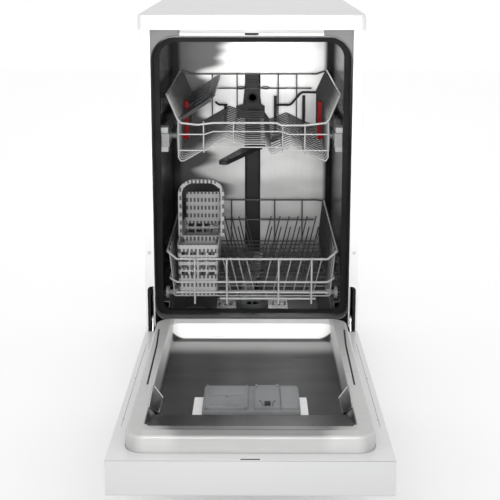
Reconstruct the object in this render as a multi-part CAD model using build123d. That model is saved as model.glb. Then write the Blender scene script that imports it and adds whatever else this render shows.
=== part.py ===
from build123d import *
import math
import os

# Slimline freestanding dishwasher with its door open and both racks in.
# Millimetres. X is the width, Y runs from the front to the back, Z is up.
# While it is built, Y is 0 at the worktop's front edge; the last step centres the depth.

# Cabinet
total_height = 850.0
worktop_width = 450.0
worktop_depth = 562.0
worktop_thickness = 30.0
worktop_corner = 9.0
worktop_edge = 2.5
worktop_overhang = 23.0
cabinet_width = 445.0
sheet = 1.2
front_flange = 19.0
front_flange_lip = 8.0
rear_flange = 16.0
panel_bottom = 26.0
hinge_cutout_top = 282.0
hinge_cutout_corner = 9.0
cutout_edge_strip = 4.0

# Tub
tub_width = 400.0
tub_top = 803.5
tub_back = 537.0
tub_corner = 46.0
tub_lip_height = 208.0
tub_lip_front = 33.0
tub_lip_corner = 18.0
tub_rear_corner = 28.0
tub_hem = 1.3
tub_hem_depth = 4.0
ledge_height = 234.0
ledge_width = 24.0
ledge_front = 64.0
basin_side_gap = 28.0
basin_front = 72.0
basin_back = 505.0
basin_floor = 142.0
basin_floor_half = 156.0
basin_floor_front = 133.0
basin_floor_back = 430.0
basin_corner = 26.0
rear_emboss_height = 2.0

# Door
hinge_y = 41.0
hinge_z = 202.4
open_slope = 2.57
flange_drop = 20.0
door_width = 447.7
door_reach = 612.6
door_tail = 85.4
door_tail_width = 432.0
shoulder = 20.0
panel_depth = 38.0
fascia_depth = 60.0
fascia_height = 115.0
fascia_wall = 2.5
fascia_corner = 6.0
door_flange_width = 24.4
liner_width = 396.0
liner_rise = 28.0
liner_start = 16.0
liner_end = 587.0
liner_corner = 30.0
liner_sheet = 1.0
liner_edge = 5.0
pan_depth = 24.0
pan_half_top = 170.0
pan_start = 50.0
pan_end = 561.0
pan_slope_run = 24.0
pan_side_run = 10.0
pan_step_v = 470.0
pan_step_run = 8.0
pan_step_rise = 11.0
pan_corner = 26.0
pan_front_corner = 45.0
latch_width = 30.0

# Dispenser in the liner, v is the distance from the hinge axis along the door
dispenser_left = -82.0
dispenser_right = 84.0
dispenser_v1 = 352.0
dispenser_v2 = 462.0
dispenser_rise = 10.0
dispenser_depth = 32.0
detergent_lid_width = 68.0
detergent_lid_length = 98.0
detergent_lid_x = -42.0
rinse_lid_width = 43.0
rinse_lid_length = 90.0
rinse_lid_x = 28.5
lid_thickness = 3.0

# Racks
rack_front = 58.0
rack_back = 498.0
rack_centre_x = 3.0
rim_radius = 2.2
wire_radius = 1.5
upper_bottom = 541.0
upper_half_bottom = 156.0
upper_half_top = 178.0
upper_knee = 630.0
upper_side_top = 678.0
upper_cross_wires = 18
rail_centre = 587.0
rail_height = 26.4
rail_gap_to_wall = 12.8
rail_depth = 16.6
rail_sheet = 1.2
rail_front = 66.0
rail_length = 430.0
upper_wheel_radius = 11.6
upper_lift = 40.0
lower_floor = 244.0
lower_centre_x = 1.0
lower_half_bottom = 160.0
lower_half_top = 177.0
lower_knee = 262.0
lower_rim = 331.0
lower_side_top = 346.0
lower_cross_wires = 14
lower_wheel_radius = 12.7
tine_lean = 13.0
tine_height = 76.0

# Spray system
upper_arm_centre = (4.0, 285.0)
upper_arm_reach = 188.0
upper_arm_angle = 21.0
lower_arm_centre = (0.0, 300.0)
lower_arm_reach = 166.0
arm_thickness = 9.0
filter_centre = (0.0, 215.0)
filter_radius = 37.0
filter_top = 185.0
salt_cap_centre = (-127.0, 152.0)
salt_cap_radius = 33.5

# Base
base_front = 48.0
base_back = 556.0
base_bottom = 26.0
base_wall = 3.0
base_wall_height = 66.0
plinth_top = 92.0
foot_radius = 18.0
foot_height = 12.0
foot_stem = 5.0
foot_inset_x = 30.0
foot_travel = 20.0

# Fits
running = 0.05
loose = 0.3
button_travel = 3.0

# Values that follow from the sizes above
half_cabinet = cabinet_width / 2
base_width = cabinet_width - 2 * sheet - 2 * loose
half_tub = tub_width / 2
half_door = door_width / 2
half_liner = liner_width / 2
cabinet_front = worktop_overhang
worktop_underside = total_height - worktop_thickness
panel_back = worktop_depth - 2 * sheet
door_skin = -panel_depth
fascia_face = -fascia_depth
fascia_bottom = door_reach - fascia_height
pan_floor = liner_rise - pan_depth
dispenser_top = pan_floor + dispenser_rise
upper_left = rack_centre_x - upper_half_bottom
upper_right = rack_centre_x + upper_half_bottom

# Crossbar and gussets
crossbar_bottom = tub_top + sheet + tub_hem + loose
crossbar_lip_top = crossbar_bottom + 6.5
crossbar_depth = 40.0
crossbar_setback = 7.0
gusset_width = 56.0
gusset_bottom = tub_top - 44.0
gusset_setback = 5.0
latch_slot = 27.0

# Pressed panels of the tub's rear wall
emboss_x1 = 30.0
emboss_x2 = 115.0
emboss_z1 = 252.0
emboss_z2 = 692.0
emboss_corner = 7.5

# Tub lip, arm post, salt neck and door gasket
lip_drop = 11.0
post_radius = 13.0
salt_neck_radius = 31.0
gasket_width = 12.0
gasket_gap = 0.3
liner_top_closed = hinge_y - flange_drop + liner_rise
gasket_front = liner_top_closed + gasket_gap
gasket_depth = 11.0

# Sound mat
mat_thickness = 4.0
mat_front = 70.0
mat_back = 530.0
mat_low = 300.0

# Hinge bracket
hinge_plate_x = half_tub + sheet + tub_hem + 1.0
hinge_plate = 3.0
arm_gap = 1.0
hinge_pin_radius = 5.0
hinge_plate_low = -11.5
hinge_plate_front = -13.5
hinge_plate_back = 75.0
hinge_plate_high = hinge_cutout_top - hinge_z - 2
plate_foot = 18.0

# Hinge cover
cover_x = hinge_plate_x + 2 * hinge_plate + 3 * arm_gap + 0.6
cover_depth = 44.0

# Base pan posts and ports
post_x1 = half_tub - ledge_width + 3.0
post_x2 = half_tub
post_depth = 26.0
post_rows = (160.0, 480.0)
boss_height = 24.0
port_height = 62.0
inlet_x = -150.0
inlet_radius = 13.2
drain_x = -95.0
drain_radius = 10.5
gland_x = 150.0
gland_radius = 9.0

# Sump
sump_outer = 60.0
sump_wall = 3.0
sump_floor = 58.0

# Lower arm spigot
arm_low = 211.0
arm_spigot = 6.0

# Softener tank and cap
tank_front = 138.0
tank_low = base_bottom + base_wall
tank_high = basin_floor - sheet - 1.0
salt_cap_low = 165.0
salt_cap_height = 20.0

# Circulation pump
pump_radius = 36.0
pump_length = 118.0
pump_x = 53.0
pump_y = 290.0
pump_z = 84.0
pump_foot = 12.0

# Drain pump
drain_pump_radius = 24.0

# Air break chamber
air_thickness = 15.0
air_y1 = 170.0
air_y2 = 450.0
air_z1 = 262.0
air_z2 = 560.0

# Feed pipe and dock
pipe_left = -19.0
pipe_right = 20.0
pipe_depth = 18.0
pipe_low = tub_lip_height
pipe_top = 668.0
dock_depth = 10.0
dock_base_low = 557.0
dock_base_top = 587.0
dock_left = -41.0
dock_right = 31.0
dock_top_left = -16.0
dock_top_right = 14.0
dock_port_z = 609.0
dock_port_radius = 9.0

# Filter plate
filter_plate_half = 84.0
filter_plate_back = 346.0
filter_plate_front = 152.0
filter_plate_thickness = 2.0

# Filter cup
cup_wall = 2.0
cup_low = 90.0
cup_windows = 12

# Port stubs
stub_length = 5.4
port_shoulder = 1.0
relief_depth = 0.6
relief_end = 0.8

# Door springs
spring_radius = 11.0
spring_wire = 1.6
spring_turns = 16
spring_x = 190.0
spring_y1 = 216.0
spring_y2 = 350.0
spring_z = 62.0
spring_hook = 22.0

# Rail guides
guide_front = rail_front + 1.0
guide_length = 26.0
guide_block = 12.0
guide_x = 174.0

# Liner foot and latch slot
liner_foot = 13.0
latch_v1 = crossbar_bottom + sheet - hinge_z
latch_v2 = crossbar_lip_top - hinge_z

# Dispenser bezel
bezel_rise = 4.0
bezel_left = -98.0
bezel_right = 97.0
bezel_start = 388.0
bezel_front = 5.0

# Grip, buttons, knob and control module
grip_half = 62.0
grip_depth = 26.0
button_places = (100.0, 134.0)
button_radius = 8.0
button_proud = 1.6
knob_x = 20.0
knob_radius = 21.0
knob_height = 14.0
knob_shaft = 3.0
control_v = 562.0
module_gap = 8.0
module_depth = 14.0

# Hinge arm
arm_width = 16.0
arm_length = 190.0
arm_low_w = -20.0
arm_high_w = -4.0
arm_boss = 12.0

# Detergent cup
cup_x1 = dispenser_left + 8
cup_x2 = dispenser_left + 70
cup_v1 = dispenser_v1 + 10
cup_v2 = dispenser_v2 - 10

# Rinse aid lid
rinse_v1 = dispenser_v1 + 11
rinse_v2 = rinse_v1 + rinse_lid_length
rinse_pin = 1.3
rinse_pin_v = rinse_v1 - 4.6
rinse_pin_w = dispenser_top + 2.4
port_radius = 12.0

# Upper rails
rail_outer_x = half_tub - rail_gap_to_wall
rail_inner_x = rail_outer_x - rail_depth
rail_web_x = (rail_outer_x + rail_inner_x) / 2
cap_thickness = 8.0

# Wheels and carriage plates
wheel_width = 6.5
wheel_axle = 3.0
upper_wheel_x = rail_web_x - rail_sheet / 2 - 0.8 - wheel_width
upper_wheel_rows = (rack_front + 56, rack_front + 56 + 186)
plate_thickness = 3.0
plate_height = 52.0
plate_low = 556.0

# Height levers
lever_thickness = 7.0
lever_width = 12.0
lever_low = 562.0
lever_high = 648.0
lever_pivot = lever_low + 7
lever_row = 5
lever_inset = 4.7
lever_gap = 0.8
lever_boss = 0.7

# Long wires under the upper rack
floor_runs = (-100.0, -38.0, 64.0, 110.0)

# Upper rack rims
front_rim = 624.0
upper_back_z = 669.0
side_front = rack_front + 46

# Feed duct
duct_x = upper_arm_centre[0]
duct_z = 571.0
duct_nose = 8.0
duct_width = 30.0
duct_height = 13.0
upper_arm_low = 524.0

# Cup shelf
shelf_rod = 2.0
shelf_hinge_x = rack_centre_x - upper_half_bottom + wire_radius + shelf_rod
shelf_front = rack_front + 30
shelf_back = 452.0
shelf_rise = 34.0
shelf_width = 88.0
shelf_thickness = 3.0
shelf_z = 626.0
shelf_knuckles = (1, 7, 13)

# Lower rack wires
lower_runs = (-121.0, -53.0, 57.0, 127.0)
lower_second = 280.0
lower_third = 257.0
lower_fourth = 243.0
lower_upright_low = 233.0
lower_back_top = 348.0
lower_back_low = 296.0

# Lower wheels
upright_radius = 1.9
lower_wheel_x = 178.2
lower_wheel_z = ledge_height + lower_wheel_radius + 0.1

# Cutlery basket
basket_left = -159.0
basket_right = -70.0
basket_front = 66.0
basket_back = 290.0
basket_low = 246.0
basket_top = 359.0
basket_taper = 3.5
basket_wall = 2.4
hoop_top = 481.0
hoop_band = 8.0
hoop_y = 160.0
hoop_foot = 352.0
hoop_overhang = 9.0


def block(x1, x2, y1, y2, z1, z2):
    """A box between two corners."""
    return Pos((x1 + x2) / 2, (y1 + y2) / 2, (z1 + z2) / 2) * Box(x2 - x1, y2 - y1, z2 - z1)


def rounded(face, corners):
    """Round named corners of a flat face, each with its own radius."""
    for point, radius in corners:
        face = fillet(face.vertices().sort_by_distance(point)[0], radius)
    return face


def prism_x(points, x1, x2, corners=()):
    """A YZ outline pushed from x1 to x2."""
    outline = [(x1, y, z) for y, z in points]
    face = rounded(make_face(Polyline(*outline, close=True)), [((x1, y, z), r) for y, z, r in corners])
    return extrude(face, amount=x2 - x1, dir=(1, 0, 0))


def prism_y(points, y1, y2, corners=()):
    """An XZ outline pushed from y1 to y2."""
    outline = [(x, y1, z) for x, z in points]
    face = rounded(make_face(Polyline(*outline, close=True)), [((x, y1, z), r) for x, z, r in corners])
    return extrude(face, amount=y2 - y1, dir=(0, 1, 0))


def prism_z(points, z1, z2, corners=()):
    """An XY outline pushed from z1 to z2."""
    outline = [(x, y, z1) for x, y in points]
    face = rounded(make_face(Polyline(*outline, close=True)), [((x, y, z1), r) for x, y, r in corners])
    return extrude(face, amount=z2 - z1, dir=(0, 0, 1))


def rod(start, end, radius):
    """A straight round bar between two points."""
    span = Vector(*end) - Vector(*start)
    return Solid.make_cylinder(radius, span.length, Plane(start, z_dir=tuple(span)))


def wire(points, radius, bend):
    """A round wire bent along straight runs."""
    path = FilletPolyline(*points, radius=bend)
    return sweep(Plane(path @ 0, z_dir=path % 0) * Circle(radius), path=path)


def mirror_x(shape):
    """The same shape on the other side."""
    return mirror(shape, about=Plane.YZ)


def both_sides(shape):
    """A right-hand shape and its left-hand twin."""
    return [shape, mirror_x(shape)]


def door_block(x1, x2, v1, v2, w1, w2):
    """A box on the door: v runs from the hinge axis to the door's top edge, w towards the tub."""
    return block(x1, x2, -v2, -v1, w1, w2)


def on_door(shape):
    """Turn a shape drawn on the flat door into the open door's place."""
    return Pos(0, hinge_y, hinge_z) * Rot(-open_slope, 0, 0) * Pos(0, 0, -flange_drop) * shape


# Cabinet

def make_worktop():
    board = block(-worktop_width / 2, worktop_width / 2, 0, worktop_depth, worktop_underside, total_height)
    board = fillet(board.edges().filter_by(Axis.Z), worktop_corner)
    return fillet(board.faces().sort_by(Axis.Z)[-1].edges(), worktop_edge)


def make_side_panel():
    """Right-hand sheet panel with folded front and rear flanges, cut out for the hinge."""
    outer = half_cabinet
    inner = half_cabinet - sheet
    lip_x = outer - front_flange
    rear_x = outer - rear_flange
    front = cabinet_front
    back = panel_back
    outline = [
        (outer, front), (outer, back), (rear_x, back), (rear_x, back - sheet), (inner, back - sheet),
        (inner, front + sheet), (lip_x + sheet, front + sheet), (lip_x + sheet, front + front_flange_lip),
        (lip_x, front + front_flange_lip), (lip_x, front),
    ]
    panel = prism_z(outline, panel_bottom, worktop_underside)
    cut_x = outer - cutout_edge_strip
    cutout = prism_y(
        [(lip_x - 1, panel_bottom - 1), (cut_x, panel_bottom - 1), (cut_x, hinge_cutout_top),
         (lip_x - 1, hinge_cutout_top)],
        front - 1, front + front_flange_lip + 1, [(cut_x, hinge_cutout_top, hinge_cutout_corner)])
    return panel - cutout


def make_rear_panel():
    half = half_cabinet - sheet - loose
    bottom = base_bottom + base_wall_height + loose
    return block(-half, half, panel_back, panel_back + sheet, bottom, worktop_underside - loose)


def make_crossbar():
    """Folded bar under the worktop with the latch slot, and a gusset in each corner."""
    front = cabinet_front
    half = half_cabinet - front_flange - loose
    reach = front + crossbar_depth
    step = front + crossbar_setback
    outline = [
        (front, crossbar_bottom), (reach, crossbar_bottom), (reach, crossbar_bottom + sheet),
        (front + sheet, crossbar_bottom + sheet), (front + sheet, crossbar_lip_top - sheet),
        (step + sheet, crossbar_lip_top - sheet), (step + sheet, worktop_underside - sheet),
        (reach, worktop_underside - sheet), (reach, worktop_underside), (step, worktop_underside),
        (step, crossbar_lip_top), (front, crossbar_lip_top),
    ]
    bar_half = half - gusset_width
    bar = prism_x(outline, -bar_half, bar_half)
    slot = block(-latch_slot / 2, latch_slot / 2, front - 1, front + crossbar_setback - 1,
                 crossbar_bottom + sheet, crossbar_lip_top + 1)
    gusset = block(bar_half, half, front + gusset_setback, front + gusset_setback + sheet,
                   gusset_bottom, worktop_underside)
    gusset = gusset - tub_form(sheet + tub_hem + loose, front, front + 3 * gusset_setback)
    return [bar - slot] + both_sides(gusset)


# Tub

def tub_form(grow, y1, y2, ledges=False):
    """The tub's space grown outwards by a wall: a box with rounded top corners."""
    half = half_tub + grow
    top = tub_top + grow
    bottom = tub_lip_height - grow
    points = [(-half, top), (half, top)]
    corners = [(-half, top, tub_corner + grow), (half, top, tub_corner + grow)]
    if ledges:
        step = half_tub - ledge_width + grow
        ledge = ledge_height - grow
        points += [(half, ledge), (step, ledge), (step, bottom), (-step, bottom), (-step, ledge), (-half, ledge)]
    else:
        points += [(half, bottom), (-half, bottom)]
        corners += [(half, bottom, tub_lip_corner), (-half, bottom, tub_lip_corner)]
    return prism_y(points, y1, y2, corners)


def basin_form(grow):
    """The sunk part of the tub's floor."""
    half_top = half_tub - basin_side_gap + grow
    half_low = basin_floor_half + grow
    width = 2 * half_top
    depth = basin_back - basin_front + 2 * grow
    low_depth = basin_floor_back - basin_floor_front + 2 * grow
    middle = (basin_front + basin_back) / 2
    low_middle = (basin_floor_front + basin_floor_back) / 2
    upper = Pos(0, middle, tub_lip_height) * RectangleRounded(width, depth, basin_corner)
    lower = Pos(0, low_middle, basin_floor - grow) * RectangleRounded(2 * half_low, low_depth, basin_corner)
    return loft([lower.face(), upper.face()], ruled=True)


def make_tub():
    """Steel tub: open front, ledges for the lower rack, sunk basin and two pressed panels at the back."""
    shell = tub_form(sheet, tub_lip_front, ledge_front)
    shell = shell + tub_form(sheet, ledge_front - sheet, tub_back + sheet, ledges=True)
    upper_front = tub_form(sheet, cabinet_front, tub_lip_front)
    hem = tub_form(sheet + tub_hem, cabinet_front, cabinet_front + tub_hem_depth)
    above_lip = block(-worktop_width, worktop_width, 0, tub_lip_front, tub_lip_height + tub_lip_corner,
                      total_height)
    shell = shell + ((upper_front + hem) & above_lip) + basin_form(sheet)
    room = tub_form(0, 0, ledge_front) + tub_form(0, ledge_front, tub_back, ledges=True) + basin_form(0)
    tub = shell - room
    panel_face = Plane.XZ * Pos((emboss_x1 + emboss_x2) / 2, (emboss_z1 + emboss_z2) / 2) \
        * RectangleRounded(emboss_x2 - emboss_x1, emboss_z2 - emboss_z1, emboss_corner)
    emboss = Pos(0, tub_back - rear_emboss_height, 0) * extrude(panel_face, amount=-rear_emboss_height)
    tub = tub + emboss + mirror_x(emboss)
    sump_hole = Pos(filter_centre[0], filter_centre[1], basin_floor) * Cylinder(filter_radius + 2, 10)
    post_hole = Pos(lower_arm_centre[0], lower_arm_centre[1], basin_floor) * Cylinder(post_radius + loose, 10)
    salt_hole = Pos(salt_cap_centre[0], salt_cap_centre[1], (basin_floor + tub_lip_height) / 2) \
        * Cylinder(salt_neck_radius + loose, tub_lip_height - basin_floor + 4)
    lip = block(-half_tub + ledge_width, half_tub - ledge_width, tub_lip_front, tub_lip_front + sheet,
                tub_lip_height - lip_drop, tub_lip_height - sheet)
    return tub - sump_hole - post_hole - salt_hole + lip


def make_gasket():
    """Rubber seal round the tub's sides and top, just behind the shut door's liner."""
    outer = tub_form(-loose, gasket_front, gasket_front + gasket_depth)
    inner = tub_form(-gasket_width, gasket_front - 1, gasket_front + gasket_depth + 1)
    floor = block(-half_tub, half_tub, gasket_front - 1, gasket_front + gasket_depth + 1,
                  tub_lip_height - gasket_width, tub_lip_height + 6)
    return outer - inner - floor


def make_sound_mat():
    """Bitumen mat bent over the tub's top and sides."""
    outer = tub_form(sheet + mat_thickness, mat_front, mat_back)
    inner = tub_form(sheet, mat_front - 1, mat_back + 1)
    below = block(-worktop_width, worktop_width, mat_front - 1, mat_back + 1, 0, mat_low)
    return outer - inner - below


def make_hinge_bracket():
    """Right-hand steel bracket with the pin that carries the door's arm."""
    y = hinge_y
    z = hinge_z
    x1 = hinge_plate_x
    x2 = x1 + hinge_plate
    plate = block(x1, x2, y + hinge_plate_front, y + hinge_plate_back, z + hinge_plate_low, z + hinge_plate_high)
    foot = block(x1, half_cabinet - sheet, y + hinge_plate_back, y + hinge_plate_back + plate_foot,
                 z + hinge_plate_low, z + hinge_plate_high)
    pin = rod((x2, y, z), (x2 + 2 * arm_gap + hinge_plate, y, z), hinge_pin_radius)
    head = rod((x2 + arm_gap + hinge_plate + 0.4, y, z), (x2 + 2 * arm_gap + hinge_plate + 0.4, y, z),
               hinge_pin_radius + 3)
    return plate + foot + pin + head


def make_hinge_cover():
    """Right-hand black cover in the side panel's cut-out."""
    front = cabinet_front + sheet + 2.0
    top = hinge_cutout_top - 1.5
    low = hinge_z - 10.0
    outer = half_cabinet - sheet
    shell = block(cover_x, outer, front, front + cover_depth, low, top)
    shell = fillet(shell.edges().filter_by(Axis.Y).sort_by_distance((outer, front, top))[0], 6)
    hollow = block(cover_x + 2, outer - 2, front + 2, front + cover_depth + 1, low + 2, top - 2)
    return shell - hollow


# Base

def make_base_pan():
    """Plastic tray with its corner posts under the tub and bosses for the feet."""
    half = base_width / 2
    top = base_bottom + base_wall_height
    tray = block(-half, half, base_front, base_back, base_bottom, top)
    tray = fillet(tray.edges().filter_by(Axis.Z), 8)
    room = block(-half + base_wall, half - base_wall, base_front + base_wall, base_back - base_wall,
                 base_bottom + base_wall, top + 1)
    tray = tray - room
    for y1 in post_rows:
        post = block(post_x1, post_x2, y1, y1 + post_depth, base_bottom + base_wall - 1,
                     ledge_height - sheet)
        tray = tray + post + mirror_x(post)
    for anchor in make_spring_posts():
        tray = tray + anchor + mirror_x(anchor)
    for x, y in foot_places():
        boss = Pos(x, y, base_bottom + boss_height / 2) * Cylinder(foot_stem + 5, boss_height)
        bore = Pos(x, y, base_bottom + boss_height / 2) * Cylinder(foot_stem + running, boss_height + 2)
        tray = tray + boss - bore
    inlet = rod((inlet_x, base_back - 2 * base_wall, port_height), (inlet_x, base_back + 1, port_height),
                inlet_radius + port_shoulder + loose)
    drain = rod((drain_x, base_back - 2 * base_wall, port_height), (drain_x, base_back + 1, port_height),
                drain_radius + port_shoulder + loose)
    cable = rod((gland_x, base_back - 2 * base_wall, port_height), (gland_x, base_back + 1, port_height),
                gland_radius + loose)
    return tray - inlet - drain - cable


def foot_places():
    """Centres of the four feet."""
    x = base_width / 2 - foot_inset_x
    return [(side * x, y) for y in (base_front + 30, base_back - 40) for side in (-1, 1)]


def make_foot(place):
    """A screw foot: disc below, stem in the base pan's boss."""
    x, y = place
    disc = Pos(x, y, foot_height / 2) * Cylinder(foot_radius, foot_height)
    disc = fillet(disc.edges().sort_by(Axis.Z)[-1], 4)
    collar = Pos(x, y, (foot_height + base_bottom) / 2) * Cylinder(foot_stem + 4, base_bottom - foot_height)
    stem = Pos(x, y, base_bottom + boss_height / 2) * Cylinder(foot_stem, boss_height)
    return disc + collar + stem


def make_plinth():
    """Front kick plate between the side panels, clear of the door's swing."""
    half = half_cabinet - sheet - loose
    plate = block(-half, half, base_front - 2 * sheet, base_front, base_bottom, plinth_top)
    return fillet(plate.edges().filter_by(Axis.Y), 5)


def make_sump():
    """Bowl under the filter, drawn out backwards to the post that carries the lower spray arm."""
    top = basin_floor - sheet
    x, y = filter_centre
    ax, ay = lower_arm_centre
    floor = sump_floor + sump_wall
    bowl = rod((x, y, sump_floor), (x, y, top), sump_outer)
    tail = block(x - post_radius - 9, x + post_radius + 9, y, ay + post_radius + 8, sump_floor, top)
    room = rod((x, y, floor), (x, y, top + 1), sump_outer - sump_wall)
    tail_room = block(x - post_radius - 6, x + post_radius + 6, y, ay + post_radius + 5, floor, top - sump_wall)
    post = rod((ax, ay, sump_floor), (ax, ay, arm_low - loose), post_radius)
    spigot = rod((ax, ay, arm_low - 1), (ax, ay, arm_low + arm_thickness + 3), arm_spigot)
    return bowl + tail - room - tail_room + post + spigot


def make_salt_tank():
    """Water softener tank with its neck through the tub's floor."""
    x, y = salt_cap_centre
    neck_top = salt_cap_low
    tank = block(x - 48, x + 26, tank_front, tank_front + 150, tank_low, tank_high)
    tank = fillet(tank.edges().filter_by(Axis.Z), 12)
    neck = rod((x, y, tank_high - 2), (x, y, neck_top), salt_neck_radius)
    swing = block(x - 80, x + 80, y - 80, tank_front, tank_low, tank_high + 8)
    bore = rod((x, y, tank_low + 6), (x, y, neck_top + 1), salt_neck_radius - 4)
    return tank + (neck - swing) - bore


def make_salt_cap():
    """Screw cap with a raised grip bar."""
    x, y = salt_cap_centre
    cap = Pos(x, y, salt_cap_low + salt_cap_height * 0.35) * Cylinder(salt_cap_radius, salt_cap_height * 0.7)
    cap = fillet(cap.edges().sort_by(Axis.Z)[-1], 2)
    grip = block(x - salt_cap_radius * 0.8, x + salt_cap_radius * 0.8, y - 4, y + 4,
                 salt_cap_low + salt_cap_height * 0.7 - 1, salt_cap_low + salt_cap_height)
    plug = rod((x, y, salt_cap_low - 10), (x, y, salt_cap_low + 1), salt_neck_radius - 4 - 2 * running)
    return cap + grip + plug


def make_circulation_pump():
    """Wash pump with its flow heater, lying beside the sump."""
    body = rod((pump_x + 18, pump_y, pump_z), (pump_x + pump_length, pump_y, pump_z), pump_radius)
    volute = rod((pump_x, pump_y, pump_z), (pump_x + 24, pump_y, pump_z), pump_radius + 8)
    feet = block(pump_x + 30, pump_x + pump_length - 10, pump_y - 20, pump_y + 20, base_bottom + base_wall,
                 pump_z - pump_radius + pump_foot)
    inlet = rod((filter_centre[0] + sump_outer * 0.5, pump_y - 30, pump_z),
                (pump_x + 12, pump_y - 30, pump_z), 11)
    sump_space = rod((filter_centre[0], filter_centre[1], 0), (filter_centre[0], filter_centre[1], 200), sump_outer)
    return body + volute + feet + (inlet - sump_space)


def make_drain_pump():
    """Small pump bolted to the sump's left side."""
    x, y = filter_centre
    z = sump_floor + drain_pump_radius + 2
    start = x - sump_outer
    body = rod((start - 52, y + 130, z), (start + 10, y + 130, z), drain_pump_radius)
    nose = rod((start - 20, y + 30, z), (start - 20, y + 130, z), 9)
    elbow = rod((start - 20, y + 30, z), (x, y + 30, z), 9)
    foot = block(start - 40, start, y + 115, y + 145, base_bottom + base_wall, z - drain_pump_radius + 8)
    sump_space = rod((x, y, 0), (x, y, 200), sump_outer)
    return body + nose + foot + (elbow - sump_space)


def make_air_break():
    """Flat water chamber between the left side panel and the tub."""
    inner = -half_cabinet + sheet
    shell = block(inner, inner + air_thickness, air_y1, air_y2, air_z1, air_z2)
    shell = fillet(shell.edges().filter_by(Axis.X), 20)
    room = block(inner + 2, inner + air_thickness - 2, air_y1 + 3, air_y2 - 3, air_z1 + 3, air_z2 - 3)
    return shell - room


def make_feed_pipe():
    """Flat water pipe up the rear wall with the upper rack's dock."""
    back = tub_back
    pipe = block(pipe_left, pipe_right, back - pipe_depth, back, pipe_low, pipe_top)
    pipe = fillet(pipe.edges().filter_by(Axis.Z).sort_by(Axis.Y)[:2], 6)
    dock = prism_y(
        [(dock_left, dock_base_low), (dock_right, dock_base_low), (dock_right, dock_base_top),
         (dock_top_right + 8, dock_base_top + 5), (dock_top_right, pipe_top), (dock_top_left, pipe_top),
         (dock_top_left - 8, dock_base_top + 5), (dock_left, dock_base_top)],
        back - pipe_depth - dock_depth, back - pipe_depth + 0.5)
    port = rod((0, back - pipe_depth - dock_depth - 1, dock_port_z), (0, back - pipe_depth, dock_port_z),
               dock_port_radius)
    low_port = rod((duct_x, back - pipe_depth - dock_depth - 1, duct_z), (duct_x, back - pipe_depth, duct_z),
                   duct_nose + loose)
    return pipe + dock - port - low_port


def make_filter_plate():
    """Flat fine strainer round the cup, lying on the basin's floor."""
    plate = block(-filter_plate_half, filter_plate_half, filter_plate_front, filter_plate_back, basin_floor,
                  basin_floor + filter_plate_thickness)
    plate = fillet(plate.edges().filter_by(Axis.Z), 14)
    cup = Pos(filter_centre[0], filter_centre[1], basin_floor) * Cylinder(filter_radius + loose, 10)
    post = Pos(lower_arm_centre[0], lower_arm_centre[1], basin_floor) * Cylinder(post_radius + loose, 10)
    holes = [
        Pos(side * (50 + 14 * i), y, basin_floor) * Box(5, 30, 10)
        for side in (-1, 1) for i in range(3) for y in (190, 245, 300)
    ]
    return plate - cup - post - holes


def make_filter_cup():
    """Filter cup: slotted wall, closed floor, rim above the strainer and two grip posts."""
    x, y = filter_centre
    tall = filter_top - cup_low
    cup = Pos(x, y, cup_low + tall / 2) * Cylinder(filter_radius, tall)
    room = Pos(x, y, cup_low + cup_wall + tall / 2) * Cylinder(filter_radius - cup_wall, tall)
    cup = cup - room
    window_height = 17.0
    window_low = basin_floor + filter_plate_thickness + 5
    windows = []
    for i in range(cup_windows):
        angle = 360.0 * (i + 0.5) / cup_windows
        windows.append(Pos(x, y, 0) * Rot(0, 0, angle) * Pos(filter_radius, 0, window_low + window_height / 2)
                       * Box(10, 14, window_height))
    posts = [block(x + side * (filter_radius - 4) - 3, x + side * (filter_radius - 4) + 3, y - 6, y + 6,
                   filter_top - 12, filter_top + 14) for side in (-1, 1)]
    cup = cup - windows
    for post in posts:
        cup = cup + post
    return cup


def make_spray_arm(centre, low, reach, turn, spigot, offset=10.0):
    """Two-bladed spray arm with its hub bored for the spigot."""
    width = 34.0
    tip_width = 20.0
    outline = [
        (-reach, -tip_width / 2), (0, -width / 2), (reach, -tip_width / 2),
        (reach, tip_width / 2), (0, width / 2), (-reach, tip_width / 2),
    ]
    corners = [(x, y, 9) for x, y in outline if abs(x) > 1]
    blade = prism_z(outline, 0, arm_thickness, corners)
    blade = fillet(blade.faces().sort_by(Axis.Z)[-1].edges(), 2)
    hub = Pos(0, 0, arm_thickness / 2) * Cylinder(width / 2 + 3, arm_thickness)
    jets = [Pos(side * reach * share, side * offset / 4, arm_thickness) * Box(8, 3, 3)
            for side in (-1, 1) for share in (0.25, 0.45, 0.65, 0.85)]
    bore = Cylinder(spigot + running, 4 * arm_thickness)
    arm = blade + hub - jets - bore
    return Pos(centre[0], centre[1], low) * Rot(0, 0, turn) * arm


def port_stub(x, start, radius):
    """Stub through the base pan's back wall: shoulder in the wall, relief groove, then the mating end."""
    face = base_back - loose
    groove = base_back + relief_end
    shoulder = rod((x, start, port_height), (x, face, port_height), radius + port_shoulder)
    relief = rod((x, face - 1, port_height), (x, groove + 1, port_height), radius - relief_depth)
    end = rod((x, groove, port_height), (x, base_back + stub_length, port_height), radius)
    return shoulder + relief + end


def make_inlet_valve():
    """Inlet valve with its threaded stub through the base pan's back wall."""
    y = base_back - base_wall
    body = block(inlet_x - 22, inlet_x + 22, y - 50, y - loose, base_bottom + base_wall, port_height + 20)
    stub = port_stub(inlet_x, y - 10, inlet_radius)
    bore = rod((inlet_x, y - 20, port_height), (inlet_x, base_back + stub_length + 1, port_height), inlet_radius - 4)
    return body + stub - bore


def make_drain_outlet():
    """Ribbed hose spigot through the base pan's back wall."""
    y = base_back - base_wall
    flange = rod((drain_x, y - 4, port_height), (drain_x, y, port_height), drain_radius + 7)
    stub = port_stub(drain_x, y - 30, drain_radius)
    bore = rod((drain_x, y - 31, port_height), (drain_x, base_back + stub_length + 1, port_height),
               drain_radius - 2.5)
    return flange + stub - bore


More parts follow.
